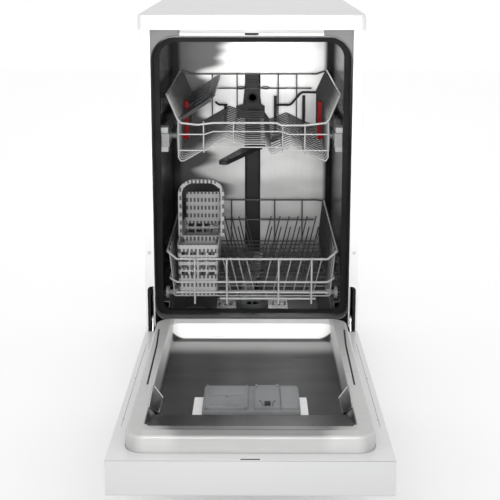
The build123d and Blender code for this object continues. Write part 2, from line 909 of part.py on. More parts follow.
def make_cable_gland():
    """Clamp gland where the mains lead leaves the base."""
    y = base_back - base_wall
    flange = rod((gland_x, y - 4, port_height), (gland_x, y, port_height), gland_radius + 5)
    body = rod((gland_x, y - 14, port_height), (gland_x, base_back + stub_length, port_height), gland_radius)
    bore = rod((gland_x, y - 15, port_height), (gland_x, base_back + stub_length + 1, port_height), 3.6)
    return flange + body - bore


def make_door_spring():
    """Right-hand tension spring along the base, hooked to a post at each end."""
    length = spring_y2 - spring_y1
    path = Helix(pitch=length / spring_turns, height=length, radius=spring_radius)
    coil = sweep(Plane(path @ 0, z_dir=path % 0) * Circle(spring_wire), path=path)
    coil = Pos(spring_x, spring_y1, spring_z) * Rot(-90, 0, 0) * coil
    return coil


def make_spring_posts():
    """Anchors that hold the spring's ends, one pair a side."""
    posts = []
    for y in (spring_y1 - 6, spring_y2 + 2):
        posts.append(block(spring_x - 14, spring_x + 14, y, y + 4, base_bottom + base_wall - 1, spring_z + 16))
    return posts


def make_cabinet_screws():
    """Screws in the front flanges, the gussets and the rear panel."""
    screws = []
    radius = 3.6
    head = 1.4
    for side in (-1, 1):
        x = side * (half_cabinet - front_flange / 2)
        for z in (798.0, 356.0):
            screws.append(rod((x, cabinet_front - head, z), (x, cabinet_front, z), radius))
        for z in (150.0, 480.0, 800.0):
            x = side * (half_cabinet - rear_flange / 2 - 2)
            screws.append(rod((x, panel_back + sheet, z), (x, panel_back + sheet + head * 0.8, z), radius))
    return screws


def make_rail_guides():
    """Wall blocks above and below each rail near the front and the back."""
    blocks = []
    high = rail_centre + rail_height / 2 + loose
    low = rail_centre - rail_height / 2 - loose
    for y in (guide_front, rail_front + rail_length - guide_length - 4):
        blocks.append(block(guide_x, half_tub, y, y + guide_length, high, high + guide_block))
        blocks.append(block(guide_x, half_tub, y, y + guide_length, low - guide_block, low))
    return [piece for item in blocks for piece in both_sides(item)]


# Door, drawn flat: v is measured from the hinge axis towards the door's top edge, w towards the tub

def make_outer_panel():
    """White sheet: front skin, side returns, a flange round the liner and a narrower tail below."""
    half = half_door
    top = fascia_bottom - loose
    skin = door_block(-half, half, shoulder, top, door_skin, door_skin + sheet)
    skin = skin + door_block(-half_door + 9, half_door - 9, top - 1, top + 14, door_skin, door_skin + sheet)
    sides = [door_block(half - sheet, half, shoulder, top, door_skin, 0)]
    flange_x = half - door_flange_width
    sides.append(door_block(flange_x, half, shoulder, top, -sheet, 0))
    panel = skin
    for side in sides:
        panel = panel + side + mirror_x(side)
    tail_half = door_tail_width / 2
    tail = door_block(-tail_half, tail_half, -door_tail, shoulder + 1, door_skin, door_skin + sheet)
    tail_side = door_block(tail_half - sheet, tail_half, -door_tail, shoulder + 1, door_skin, door_skin + 10)
    panel = panel + tail + tail_side + mirror_x(tail_side)
    frame = door_block(-half, half, top - 1, door_reach - 1.5, -sheet, 0)
    opening_end = liner_end + half_door - door_flange_width - half_liner
    opening_start = top - 2 * door_flange_width
    gap = flange_x - half_liner
    opening = Pos(0, -(opening_start + opening_end) / 2, 0) * extrude(
        RectangleRounded(2 * flange_x, opening_end - opening_start, liner_corner + gap), amount=3, both=True)
    slot = door_block(-latch_width / 2, latch_width / 2, latch_v1, latch_v2, -sheet - 1, 1)
    return panel + (frame - opening - slot)


def pan_outline(half, v1, v2, w, grow):
    """Flat outline of the pan: tight corners at the hinge end, wide ones in front."""
    points = [(-half, -v1), (half, -v1), (half, -v2), (-half, -v2)]
    face = make_face(Polyline(*[(x, y, w) for x, y in points], close=True))
    radii = [pan_corner, pan_corner, pan_front_corner + grow, pan_front_corner + grow]
    return rounded(face, [((x, y, w), r) for (x, y), r in zip(points, radii)])


def pan_form(grow):
    """The pan pressed into the liner: sloped sides, with a step and a gentle ramp filled in at the front."""
    top_w = liner_rise + (1 if grow == 0 else 0)
    low_w = pan_floor - grow
    slope = (top_w - low_w) / (liner_rise - pan_floor)
    low_half = pan_half_top - pan_side_run + grow
    low_v1 = pan_start + pan_slope_run - grow
    low = pan_outline(low_half, low_v1, pan_end + grow, low_w, grow)
    top = pan_outline(low_half + pan_side_run * slope, low_v1 - pan_slope_run * slope,
                      pan_end + grow + pan_side_run * slope, top_w, grow)
    step_v = pan_step_v + grow
    step_w = pan_floor + pan_step_rise - grow
    far = pan_end + 2 * pan_front_corner
    climb = (liner_rise - pan_floor - pan_step_rise) / (pan_end - pan_step_v - pan_step_run)
    far_w = step_w + climb * (far - step_v - pan_step_run)
    under = low_w - 10
    fill = prism_x([(-step_v, under), (-step_v, low_w), (-step_v - pan_step_run, step_w), (-far, far_w),
                    (-far, under)], -half_door, half_door)
    return loft([low, top], ruled=True) - fill


def liner_form(grow, low):
    """The raised part of the liner."""
    middle = -(liner_start + liner_end) / 2
    length = liner_end - liner_start + 2 * grow
    face = Pos(0, middle, low) * RectangleRounded(liner_width + 2 * grow, length, liner_corner + grow)
    solid = extrude(face, amount=liner_rise + grow - low)
    return fillet(solid.faces().sort_by(Axis.Z)[-1].edges(), liner_edge + grow)


def make_liner():
    """Pressed steel inner door with its sunk pan and a foot that tucks under the white flange."""
    low = -sheet - liner_sheet
    outer = liner_form(0, low) - pan_form(0)
    inner = liner_form(-liner_sheet, low - 1) - pan_form(liner_sheet)
    liner = outer - inner
    foot_half = half_liner + liner_foot
    foot = door_block(-foot_half, foot_half, liner_start + 14, liner_end + liner_foot, low, low + liner_sheet)
    hole = Pos(0, -(liner_start + liner_end) / 2, low) * extrude(
        RectangleRounded(liner_width - 1, liner_end - liner_start - 1, liner_corner), amount=10, both=True)
    liner = liner + (foot - hole)
    body = door_block(dispenser_left + 5 - loose, dispenser_right - 5 + loose, dispenser_v1 + 5 - loose,
                      dispenser_v2 - 5 + loose, -5, pan_floor + 1)
    rim = door_block(bezel_left, bezel_right, bezel_start, dispenser_v2 + bezel_front, pan_floor - 0.1,
                     pan_floor + bezel_rise)
    rim = rim - door_block(dispenser_left - loose, dispenser_right + loose, dispenser_v1 - loose,
                           dispenser_v2 + loose, pan_floor - 1, pan_floor + bezel_rise + 1)
    return liner + rim - body


def make_fascia():
    """White control fascia: front, end and side walls, with a grip pocket in its underside."""
    half = half_door
    wall = fascia_wall
    top_w = -sheet - loose
    outer = door_block(-half, half, fascia_bottom, door_reach, fascia_face, top_w)
    edges = outer.edges().filter_by(Axis.X).sort_by(Axis.Z)[:2]
    outer = fillet(edges, fascia_corner)
    room = door_block(-half + wall, half - wall, fascia_bottom + wall, door_reach - wall, fascia_face + wall,
                      top_w + 1)
    open_back = door_block(-half - 1, half + 1, fascia_bottom - 1, fascia_bottom + wall + 1, door_skin - loose,
                           top_w + 1)
    side_keep = door_block(-half + wall, half - wall, fascia_bottom - 1, fascia_bottom + wall + 1,
                           door_skin - loose, top_w + 1)
    fascia = outer - room - (open_back & side_keep)
    pocket_outer = door_block(-grip_half - 2, grip_half + 2, fascia_bottom + wall - 0.5, fascia_bottom + grip_depth,
                              fascia_face + 0.5, door_skin - loose - 0.5)
    pocket = door_block(-grip_half, grip_half, fascia_bottom - 1, fascia_bottom + grip_depth - 2,
                        fascia_face + wall, door_skin - loose - 2.5)
    fascia = fascia + pocket_outer - pocket
    for x in button_places:
        fascia = fascia - Pos(x, -control_v, fascia_face) * Cylinder(button_radius + loose, 20)
    return fascia - Pos(knob_x, -control_v, fascia_face) * Cylinder(knob_shaft + running, 20)


def make_button(x):
    """Push button in the fascia: cap, retaining collar and stem, on the flat door."""
    wall_back = fascia_face + fascia_wall
    cap = Pos(x, -control_v, (fascia_face - button_proud + wall_back + 1) / 2) \
        * Cylinder(button_radius, wall_back + 1 - fascia_face + button_proud)
    cap = fillet(cap.edges().sort_by(Axis.Z)[0], 0.8)
    collar = Pos(x, -control_v, wall_back + loose + 0.6) * Cylinder(button_radius + 2, 1.2)
    return cap + collar


def make_knob():
    """Programme knob with a grip ridge, its shaft in the control module's bush."""
    face = fascia_face - loose
    body = Pos(knob_x, -control_v, face - knob_height / 2) * Cylinder(knob_radius, knob_height)
    body = fillet(body.edges().sort_by(Axis.Z)[0], 3)
    shaft = rod((knob_x, -control_v, face - 1), (knob_x, -control_v, fascia_face + fascia_wall + module_gap + 6),
                knob_shaft)
    mark = Pos(knob_x, -control_v - knob_radius + 5, face - knob_height) * Box(2, 8, 1.2)
    return body + shaft - mark


def make_control_module():
    """Circuit board box behind the fascia, on four feet."""
    wall_back = fascia_face + fascia_wall
    w1 = wall_back + module_gap
    box = door_block(-46, 168, control_v - 26, control_v + 34, w1, w1 + module_depth)
    feet = [Pos(x, -v, (wall_back + w1) / 2) * Cylinder(4, w1 - wall_back)
            for x in (-38, 160) for v in (control_v - 18, control_v + 26)]
    bush = Pos(knob_x, -control_v, w1) * Cylinder(knob_shaft + running, 2 * module_depth)
    module = box - bush
    for foot in feet:
        module = module + foot
    return module


def make_latch():
    """Door lock behind the slot in the door's edge, with its hook drawn in."""
    top = -sheet - liner_sheet - loose
    body = door_block(-30, 30, liner_end - 14, door_reach - fascia_wall - loose, -30, top)
    mouth = door_block(-latch_width / 2, latch_width / 2, latch_v1 - 1, door_reach, -22, 0)
    hook = door_block(-9, 9, latch_v1 - 2, latch_v1 + 2.5, -23, -5)
    return body - mouth + hook


def make_hinge_arm():
    """Right-hand steel arm: boss on the pin, a neck down into the door and a long leg."""
    x1 = hinge_plate_x + hinge_plate + arm_gap
    x2 = x1 + hinge_plate
    boss = rod((x1, 0, flange_drop), (x2, 0, flange_drop), arm_boss)
    neck = prism_x([(arm_boss, flange_drop), (-arm_boss, flange_drop), (-arm_boss - 6, arm_high_w),
                    (-arm_boss - 6, arm_low_w), (8, arm_low_w), (arm_boss, arm_high_w)], x1, x2)
    leg = door_block(x1, x2, 0, arm_length, arm_low_w, arm_high_w)
    tab = door_block(x1, half_door - sheet, arm_length - 60, arm_length, arm_low_w, arm_low_w + 3)
    bore = rod((x1 - 1, 0, flange_drop), (x2 + 1, 0, flange_drop), hinge_pin_radius + running)
    return boss + neck + leg + tab - bore


def make_insulation():
    """Felt pad on the inside of the outer skin."""
    pad = door_block(-175, 175, 90, 470, door_skin + sheet, door_skin + sheet + 12)
    return pad - door_block(dispenser_left - 8, dispenser_right + 8, dispenser_v1 - 8, dispenser_v2 + 8,
                            door_skin, door_skin + 30)


def make_dispenser():
    """Grey dispenser body: detergent cup with lid rails, rinse aid port with hinge lugs, raised cover."""
    top = dispenser_top
    flange = door_block(dispenser_left, dispenser_right, dispenser_v1, dispenser_v2, pan_floor, top)
    flange = fillet(flange.edges().filter_by(Axis.Z), 6)
    tank = door_block(dispenser_left + 5, dispenser_right - 5, dispenser_v1 + 5, dispenser_v2 - 5,
                      pan_floor - dispenser_depth, pan_floor + 1)
    cup = door_block(cup_x1, cup_x2, cup_v1, cup_v2, pan_floor - dispenser_depth + 2, top + 1)
    cup = fillet(cup.edges().filter_by(Axis.Z), 8)
    body = flange + tank - cup
    half_lid = detergent_lid_width / 2
    for side in (-1, 1):
        edge = detergent_lid_x + side * (half_lid + loose)
        x1, x2 = sorted((edge, edge + side * 2.0))
        lip1, lip2 = sorted((edge - side * 1.4, edge + side * 2.0))
        rail = door_block(x1, x2, dispenser_v1 + 6, dispenser_v2 - 6, top - 0.5, top + lid_thickness + 2 * loose + 1)
        lip = door_block(lip1, lip2, dispenser_v1 + 6, dispenser_v2 - 6, top + lid_thickness + 2 * loose,
                         top + lid_thickness + 2 * loose + 1)
        body = body + rail + lip
    port = Pos(rinse_lid_x, -(rinse_v1 + 30), top) * Cylinder(port_radius, 36)
    cover = door_block(rinse_lid_x + rinse_lid_width / 2 + 1.5, dispenser_right - 3, dispenser_v1 + 6,
                       dispenser_v2 - 6, top - 0.5, top + lid_thickness + loose)
    body = body + fillet(cover.edges().filter_by(Axis.Z), 3) - port
    for side in (-1, 1):
        x = rinse_lid_x + side * (rinse_lid_width / 2 - 3)
        lug = door_block(x - 2, x + 2, rinse_v1 - 8.5, rinse_v1 - 1.2, top - 0.5, top + lid_thickness + 2)
        body = body + lug - rod((x - 5, -rinse_pin_v, rinse_pin_w), (x + 5, -rinse_pin_v, rinse_pin_w),
                                rinse_pin + running)
    return body


def make_detergent_lid():
    """Sliding lid with two raised pads."""
    top = dispenser_top + loose
    v1 = (dispenser_v1 + dispenser_v2 - detergent_lid_length) / 2
    half = detergent_lid_width / 2
    lid = door_block(detergent_lid_x - half, detergent_lid_x + half, v1, v1 + detergent_lid_length, top,
                     top + lid_thickness)
    lid = fillet(lid.edges().filter_by(Axis.Z), 4)
    for share in (0.12, 0.54):
        start = v1 + share * detergent_lid_length
        lid = lid + door_block(detergent_lid_x - half + 8, detergent_lid_x + half - 8, start,
                               start + 0.34 * detergent_lid_length, top + lid_thickness - 0.5,
                               top + lid_thickness + 1.2)
    return lid


def make_rinse_lid():
    """Flap over the rinse aid port with its knuckle and a latch tab."""
    top = dispenser_top + loose
    half = rinse_lid_width / 2
    lid = door_block(rinse_lid_x - half, rinse_lid_x + half, rinse_v1, rinse_v2, top, top + lid_thickness)
    neck_half = half - 5.6
    neck = door_block(rinse_lid_x - neck_half, rinse_lid_x + neck_half, rinse_pin_v, rinse_v1 + 1, top,
                      top + lid_thickness)
    knuckle = rod((rinse_lid_x - neck_half, -rinse_pin_v, rinse_pin_w),
                  (rinse_lid_x + neck_half, -rinse_pin_v, rinse_pin_w), rinse_pin + 0.8)
    pin = rod((rinse_lid_x - half, -rinse_pin_v, rinse_pin_w), (rinse_lid_x + half, -rinse_pin_v, rinse_pin_w),
              rinse_pin)
    latch = door_block(rinse_lid_x - 6, rinse_lid_x + 6, rinse_v2 - 26, rinse_v2 - 3, top + lid_thickness - 0.5,
                       top + lid_thickness + 1.4)
    return lid + neck + knuckle + pin + latch


# Upper rack


def make_upper_rails():
    """Two steel rails of H section with plastic stops at both ends."""
    z1 = rail_centre - rail_height / 2
    z2 = rail_centre + rail_height / 2
    back = rail_front + rail_length
    rail = block(rail_web_x - rail_sheet / 2, rail_web_x + rail_sheet / 2, rail_front, back, z1, z2)
    for z in (z1, z2 - rail_sheet):
        rail = rail + block(rail_inner_x, rail_outer_x, rail_front, back, z, z + rail_sheet)
    front_cap = block(rail_inner_x + 0.5, rail_outer_x - 0.5, rail_front - cap_thickness, rail_front,
                      z1 - 1, z2 + 1)
    back_cap = block(rail_inner_x + 0.5, rail_outer_x - 0.5, back, back + cap_thickness, z1, z2)
    return both_sides(rail) + both_sides(front_cap) + both_sides(back_cap)


def adjuster_side(side):
    """X where the rack's upright side wires end, on one side."""
    return rack_centre_x + side * (upper_half_bottom + wire_radius)


def make_carriage():
    """Two grey-green side plates with the axles of the rack's wheels."""
    pieces = []
    y1 = upper_wheel_rows[0] - 20
    y2 = upper_wheel_rows[1] + 20
    for side in (-1, 1):
        inner = adjuster_side(side) + side * loose
        outer = inner + side * plate_thickness
        x1, x2 = sorted((inner, outer))
        plate = block(x1, x2, y1, y2, plate_low, plate_low + plate_height)
        plate = fillet(plate.edges().filter_by(Axis.X), 12)
        for y in upper_wheel_rows:
            plate = plate + rod((outer - side, y, rail_centre), (side * (upper_wheel_x + wheel_width + 0.3), y,
                                rail_centre), wheel_axle)
            plate = plate + rod((outer - side, y, rail_centre), (side * (upper_wheel_x - 0.8), y, rail_centre),
                                wheel_axle + 3)
        pieces.append(plate)
    return pieces


def make_wheels(y, z, x, radius, axle, width):
    """A pair of coaxial wheels with a groove for looks and a running bore."""
    wheels = []
    wheel = rod((x, y, z), (x + width, y, z), radius) - rod((x - 1, y, z), (x + width + 1, y, z), axle + running)
    dish = rod((x - 1, y, z), (x + 1.2, y, z), radius - 2.5) - rod((x - 2, y, z), (x + 2, y, z), axle + 2.5)
    wheels += both_sides(wheel - dish)
    return wheels


def lever_y():
    """Middle of the gap between two cross wires, where the lever reaches through."""
    return (cross_wire_y(lever_row) + cross_wire_y(lever_row + 1)) / 2


def make_lever(side):
    """Red release lever inside the rack, pivoted on the carriage plate."""
    y = lever_y()
    outer = adjuster_side(side) - side * (2 * wire_radius + lever_inset)
    inner = outer - side * lever_thickness
    x1, x2 = sorted((inner, outer))
    lever = block(x1, x2, y - lever_width / 2, y + lever_width / 2, lever_low, lever_high)
    lever = fillet(lever.edges().filter_by(Axis.X), 4)
    reach = adjuster_side(side) + side * (loose - lever_gap)
    x1, x2 = sorted((outer - side, reach))
    middle = (inner + outer) / 2
    boss = rod((middle, y - lever_width / 2, lever_pivot), (middle, y + lever_width / 2, lever_pivot),
               lever_thickness / 2 + lever_boss)
    return lever + boss + block(x1, x2, y - 5, y + 5, lever_low + 2, lever_low + 12)


def cross_wire_y(index):
    """Place of one cross wire of the upper rack, front to back."""
    first = rack_front + 12
    last = rack_back - 10
    return first + (last - first) * index / (upper_cross_wires - 1)


def upper_profile():
    """Outline of the upper rack's floor from left to right."""
    left = upper_left
    right = upper_right
    low = upper_bottom
    return [
        (left + 5, low), (left + 12, low + 1), (-58, low + 49), (-22, low + 36), (28, low + 36), (42, low + 15),
        (84, low + 33), (right - 20, low + 6), (right - 5, low),
    ]


def profile_height(x):
    """Height and slope of the floor profile at x."""
    points = upper_profile()
    for (x1, z1), (x2, z2) in zip(points, points[1:]):
        if x1 <= x <= x2:
            slope = (z2 - z1) / (x2 - x1)
            return z1 + slope * (x - x1), slope
    return upper_bottom, 0.0


def make_upper_rack():
    """Wire basket: cross wires with upright sides, long wires below them, front and back frames."""
    pieces = []
    bend = 5.0
    for index in range(upper_cross_wires):
        y = cross_wire_y(index)
        pieces.append(wire([(x, y, z) for x, z in upper_profile()], wire_radius, bend))
        for side in (-1, 1):
            foot = rack_centre_x + side * upper_half_bottom
            top = rack_centre_x + side * upper_half_top
            pieces.append(wire([(foot - side * 5, y, upper_bottom), (foot, y, upper_bottom + 8),
                                (foot, y, upper_knee), (top, y, upper_side_top)], wire_radius, 3.0))
    pitch = 2 * wire_radius
    for x in floor_runs:
        z, slope = profile_height(x)
        drop = pitch * math.sqrt(1 + slope * slope) + 0.02
        pieces.append(rod((x, rack_front + rim_radius + 2 * pitch, z - drop), (x, rack_back - rim_radius - pitch,
                          z - drop), wire_radius))
        for y, top in ((rack_front + rim_radius + wire_radius, front_rim_z(x)),
                       (rack_back - rim_radius - wire_radius, upper_back_z)):
            pieces.append(rod((x, y, z - drop - wire_radius), (x, y, top + 3), wire_radius))
    for side in (-1, 1):
        corner = rack_centre_x + side * upper_half_bottom
        top = rack_centre_x + side * (upper_half_top + wire_radius + rim_radius)
        pieces.append(rod((top, side_front, upper_side_top), (top, rack_back, upper_side_top), rim_radius))
        pieces.append(wire([(corner - side * 6, rack_front, upper_knee - 6), (corner, rack_front + 3, upper_knee),
                            (top, side_front - 8, upper_side_top), (top, side_front, upper_side_top)],
                           rim_radius, 3.0))
        pieces.append(wire([(top, rack_back, upper_side_top), (top, rack_back + 6, upper_side_top),
                            (corner, rack_back + 6, upper_back_z), (corner - side * 12, rack_back + 6,
                            upper_back_z)], rim_radius, 3.0))
    left = upper_left
    right = upper_right
    pieces.append(wire([(left + 6, rack_front, upper_knee - 6), (left + 40, rack_front, upper_knee - 10),
                        (-80, rack_front, front_rim), (52, rack_front, front_rim), (60, rack_front, front_rim - 5),
                        (right - 50, rack_front, front_rim - 5), (right - 6, rack_front, upper_knee - 6)],
                       rim_radius, 6.0))
    for high, side_drop in ((606.0, 6.0), (573.0, 7.0)):
        pieces.append(wire([(left, rack_front, high - side_drop), (-98, rack_front, high - side_drop),
                            (-80, rack_front, high), (60, rack_front, high), (78, rack_front, high - side_drop),
                            (right, rack_front, high - side_drop)], wire_radius, 6.0))
    pieces.append(rod((shelf_hinge_x, cross_wire_y(0) - 4, shelf_z), (shelf_hinge_x, shelf_back + 12, shelf_z),
                      shelf_rod))
    for z in (upper_back_z, upper_back_z - 35):
        pieces.append(rod((left + 12, rack_back + (6 if z == upper_back_z else 0), z),
                          (right - 12, rack_back + (6 if z == upper_back_z else 0), z), rim_radius * 0.8))
    return pieces


def front_rim_z(x):
    """Height of the front rim above one upright."""
    return front_rim - 5 if x > 60 else front_rim


def make_feed_duct():
    """Duct under the upper rack from the dock to the spray arm's hub."""
    x, y = upper_arm_centre
    back = tub_back - pipe_depth - dock_depth - 3.0
    low = upper_bottom + 4
    bar = block(x - duct_width / 2, x + duct_width / 2, y - 14, back, low, low + duct_height)
    bar = fillet(bar.edges().filter_by(Axis.Y).sort_by(Axis.Z)[:2], 4)
    riser = block(x - duct_width / 2, x + duct_width / 2, back - 14, back, low, duct_z + duct_nose + 2)
    hub_top = profile_height(x)[0] - wire_radius - 0.2
    hub = rod((x, y, upper_arm_low + arm_thickness + loose), (x, y, hub_top), 16)
    spigot = rod((x, y, upper_arm_low - 2), (x, y, low + 1), arm_spigot)
    cap = rod((x, y, upper_arm_low - 3.6), (x, y, upper_arm_low - 0.6), arm_spigot + 4)
    return bar + riser + hub + spigot + cap


def make_cup_shelf():
    """Smoked cup shelf on the left, its knuckles round a rod along the rack's side wires."""
    x = shelf_hinge_x
    knuckle = shelf_rod + running + 2.2
    plate = block(x + knuckle, x + shelf_width, shelf_front, shelf_back, 0, shelf_thickness)
    plate = fillet(plate.edges().filter_by(Axis.Z).sort_by(Axis.X)[-2:], 12)
    slots = [Pos(x + 50, shelf_front + 50 + 58 * i, 0) * Box(34, 26, 10) for i in range(6)]
    lip = block(x + knuckle, x + shelf_width - 12, shelf_front, shelf_front + 3, -4, shelf_thickness)
    shelf = plate + lip - slots
    for index in shelf_knuckles:
        y = (cross_wire_y(index) + cross_wire_y(index + 1)) / 2
        shelf = shelf + rod((x, y - 7, 0), (x, y + 7, 0), knuckle)
        shelf = shelf + block(x, x + knuckle + 2, y - 7, y + 7, 0, shelf_thickness)
    shelf = shelf - rod((x, shelf_front - 10, 0), (x, shelf_back + 10, 0), shelf_rod + running)
    notch = block(x - 1, x + lever_high - shelf_z + 6, lever_y() - lever_width, lever_y() + lever_width, -9, 9)
    return Pos(x, 0, shelf_z) * Rot(0, -shelf_rise, 0) * Pos(-x, 0, 0) * (shelf - notch)


# Lower rack

def lower_wire_y(index):
    """Place of one cross wire of the lower rack, front to back."""
    first = rack_front + 16
    last = rack_back - 16
    return first + (last - first) * index / (lower_cross_wires - 1)


def lower_side_x(side, grow=0.0):
    """X of the lower rack's side wires at floor level, on one side."""
    return lower_centre_x + side * (lower_half_bottom + 8 + grow)


def make_lower_rack():
    """Wire basket: cross wires with upright sides, long wires under them, front and back frames."""
    pieces = []
    for index in range(lower_cross_wires):
        y = lower_wire_y(index)
        pieces.append(rod((lower_centre_x - lower_half_bottom, y, lower_floor),
                          (lower_centre_x + lower_half_bottom, y, lower_floor), wire_radius))
        for side in (-1, 1):
            foot = lower_centre_x + side * lower_half_bottom
            top = lower_centre_x + side * lower_half_top
            pieces.append(wire([(foot, y, lower_floor), (foot + side * 8, y, lower_floor),
                                (foot + side * 8, y, lower_knee), (top, y, lower_side_top)], wire_radius, 5.0))
    low = lower_floor - 2 * wire_radius - 0.02
    back_x = rack_back + rim_radius + wire_radius
    for x in lower_runs:
        pieces.append(rod((x, rack_front + rim_radius, low), (x, back_x - wire_radius, low), wire_radius))
        pieces.append(rod((x, rack_front - rim_radius - upright_radius, lower_upright_low),
                          (x, rack_front - rim_radius - upright_radius, lower_rim + rim_radius), upright_radius))
        pieces.append(rod((x, back_x, low), (x, back_x, lower_back_top + 2), wire_radius))
    half = lower_half_bottom - 4
    left = lower_centre_x - half
    right = lower_centre_x + half
    for z in (lower_rim, lower_second):
        pieces.append(rod((left, rack_front, z), (right, rack_front, z), rim_radius))
    pieces.append(rod((left - 6, rack_front, lower_third), (right + 6, rack_front, lower_third), rim_radius))
    pieces.append(rod((-68, rack_front, lower_fourth), (136, rack_front, lower_fourth), rim_radius))
    for z in (lower_back_top, lower_back_low):
        pieces.append(rod((left, rack_back, z), (right, rack_back, z), rim_radius))
    for side in (-1, 1):
        edge = lower_centre_x + side * half
        top = lower_centre_x + side * (lower_half_top + wire_radius + rim_radius)
        for z, z_side, x in ((lower_rim, lower_side_top, top),
                             (lower_second, lower_second + 6, lower_side_x(side, wire_radius + rim_radius + 3))):
            pieces.append(wire([(edge, rack_front, z), (edge + side * 4, rack_front, z),
                                (x, rack_front + 8, z_side), (x, rack_back - 12, z_side)], rim_radius, 3.0))
        pieces.append(wire([(top, rack_back - 12, lower_side_top), (top, rack_back - 4, lower_side_top),
                            (edge + side * 4, rack_back, lower_back_top), (edge, rack_back, lower_back_top)],
                           rim_radius, 3.0))
    return pieces


def make_lower_axles():
    """Plastic axle blocks between two side wires, each with its wheel's axle."""
    pieces = []
    for side in (-1, 1):
        outer = lower_side_x(side, wire_radius)
        inner = outer - side * 11
        x1, x2 = sorted((inner, outer))
        for index in (0, lower_cross_wires - 2):
            y1 = lower_wire_y(index) + wire_radius
            y2 = lower_wire_y(index + 1) - wire_radius
            y = (y1 + y2) / 2
            holder = block(x1, x2, y1, y2, lower_wheel_z - 0.2, lower_wheel_z + 11)
            holder = holder + rod((inner, y, lower_wheel_z), (side * (lower_wheel_x - 0.6), y, lower_wheel_z), 5.5)
            axle = rod((inner, y, lower_wheel_z), (side * (lower_wheel_x + wheel_width + 0.8), y, lower_wheel_z),
                       wheel_axle)
            pieces.append(holder + axle)
    return pieces


def lower_wheel_y(index):
    """Middle of the gap between two cross wires of the lower rack."""
    return (lower_wire_y(index) + lower_wire_y(index + 1)) / 2


def make_tines():
    """Plate tines in rows: the right-hand ones lean right, the left-hand ones lean left."""
    groups = [
        (tine_lean, (25.0, 47.0, 69.0, 91.0, 113.0, 135.0)),
        (-tine_lean, (5.0, -12.0, -29.0, -46.0)),
    ]
    pieces = []
    base = lower_floor - wire_radius
    for row, y in enumerate(tine_rows()):
        for lean, places in groups:
            height = tine_height + (16 if row > 1 else 0)
            shift = math.tan(math.radians(lean)) * height
            for x in places:
                pieces.append(rod((x, y, base), (x + shift, y, base + height), wire_radius))
    return pieces


def tine_rows():
    """Depths of the tine rows, each just behind a cross wire."""
    return [lower_wire_y(index) + 2 * wire_radius + 0.02 for index in (1, 4, 7, 10)]


def basket_form(grow, low, high):
    """Tapered basket body between two heights."""
    def level(z):
        share = (z - basket_low) / (basket_top - basket_low)
        left = basket_left + basket_taper * (1 - share) - grow
        right = basket_right - basket_taper * (1 - share) + grow
        depth = basket_back - basket_front + 2 * grow
        return Pos((left + right) / 2, (basket_front + basket_back) / 2, z) \
            * RectangleRounded(right - left, depth, 8 + grow)
    return loft([level(low).face(), level(high).face()], ruled=True)


def make_cutlery_basket():
    """Cutlery basket with slotted walls, a cross wall, a folded lid at the back and its tall hoop."""
    body = basket_form(0, basket_low, basket_top)
    body = body - basket_form(-basket_wall, basket_low + basket_wall, basket_top + 1)
    middle = (basket_left + basket_right) / 2
    wall = block(basket_left + 4, basket_right - 4, hoop_y - 1, hoop_y + 1, basket_low + 1, basket_top - 6)
    body = body + wall
    cuts = []
    for row in range(4):
        z = 292 + 15 * row
        for column in range(4):
            x = middle + (column - 1.5) * 19
            cuts.append(block(x - 7, x + 7, basket_front - 5, basket_front + 8, z, z + 8))
            cuts.append(block(x - 7, x + 7, basket_back - 8, basket_back + 5, z, z + 8))
        for column in range(8):
            y = basket_front + 22 + 25.8 * column
            cuts.append(block(basket_left - 5, basket_left + 10, y - 8, y + 8, z, z + 8))
            cuts.append(block(basket_right - 10, basket_right + 5, y - 8, y + 8, z, z + 8))
    body = body - cuts
    outer = hoop_outline(0)
    inner = hoop_outline(hoop_band)
    hoop = outer - inner
    feet = [block(x1, x2, hoop_y - 5, hoop_y + 5, hoop_foot, basket_top) for x1, x2 in
            ((basket_left - 2, basket_left + 2), (basket_right - 2, basket_right + hoop_overhang - 1))]
    lid = block(basket_left + 6, basket_right - 6, basket_back - 5, basket_back - 2, basket_top - 6, 421)
    return body + hoop + feet[0] + feet[1] + lid


def hoop_outline(inset):
    """The hoop's outer or inner outline as a solid."""
    left = basket_left - 3 + inset
    right = basket_right + hoop_overhang - inset
    top = hoop_top - inset
    foot = hoop_foot - (4 if inset else 0)
    radius = 34 - inset
    return prism_y([(left, foot), (left, top), (right, top), (right, foot)], hoop_y - (5 + inset),
                   hoop_y + (5 + inset), [(left, top, radius), (right, top, radius)])


# Build and write

def root_nodes():
    """Pieces that stand still."""
    return {
        "worktop": [make_worktop()],
        "side_panel_right": [make_side_panel()],
        "side_panel_left": [mirror_x(make_side_panel())],
        "rear_panel": [make_rear_panel()],
        "front_crossbar": make_crossbar(),
        "tub": [make_tub()],
        "tub_gasket": [make_gasket()],
        "sound_mat": [make_sound_mat()],
        "hinge_brackets": both_sides(make_hinge_bracket()),
        "hinge_covers": both_sides(make_hinge_cover()),
        "base_pan": [make_base_pan()],
        "plinth": [make_plinth()],
        "rear_feet": [make_foot(place) for place in foot_places()[2:]],
        "foot_front_left": [make_foot(foot_places()[0])],
        "foot_front_right": [make_foot(foot_places()[1])],
        "sump": [make_sump()],
        "softener_tank": [make_salt_tank()],
        "salt_cap": [make_salt_cap()],
        "circulation_pump": [make_circulation_pump()],
        "drain_pump": [make_drain_pump()],
        "air_break_chamber": [make_air_break()],
        "spray_feed_pipe": [make_feed_pipe()],
        "filter_plate": [make_filter_plate()],
        "filter_cup": [make_filter_cup()],
        "lower_spray_arm": [make_spray_arm(lower_arm_centre, arm_low, lower_arm_reach, 84.0, arm_spigot)],
        "inlet_valve": [make_inlet_valve()],
        "drain_outlet": [make_drain_outlet()],
        "cable_gland": [make_cable_gland()],
        "door_springs": both_sides(make_door_spring()),
        "cabinet_screws": make_cabinet_screws(),
        "rail_guides": make_rail_guides(),
    }


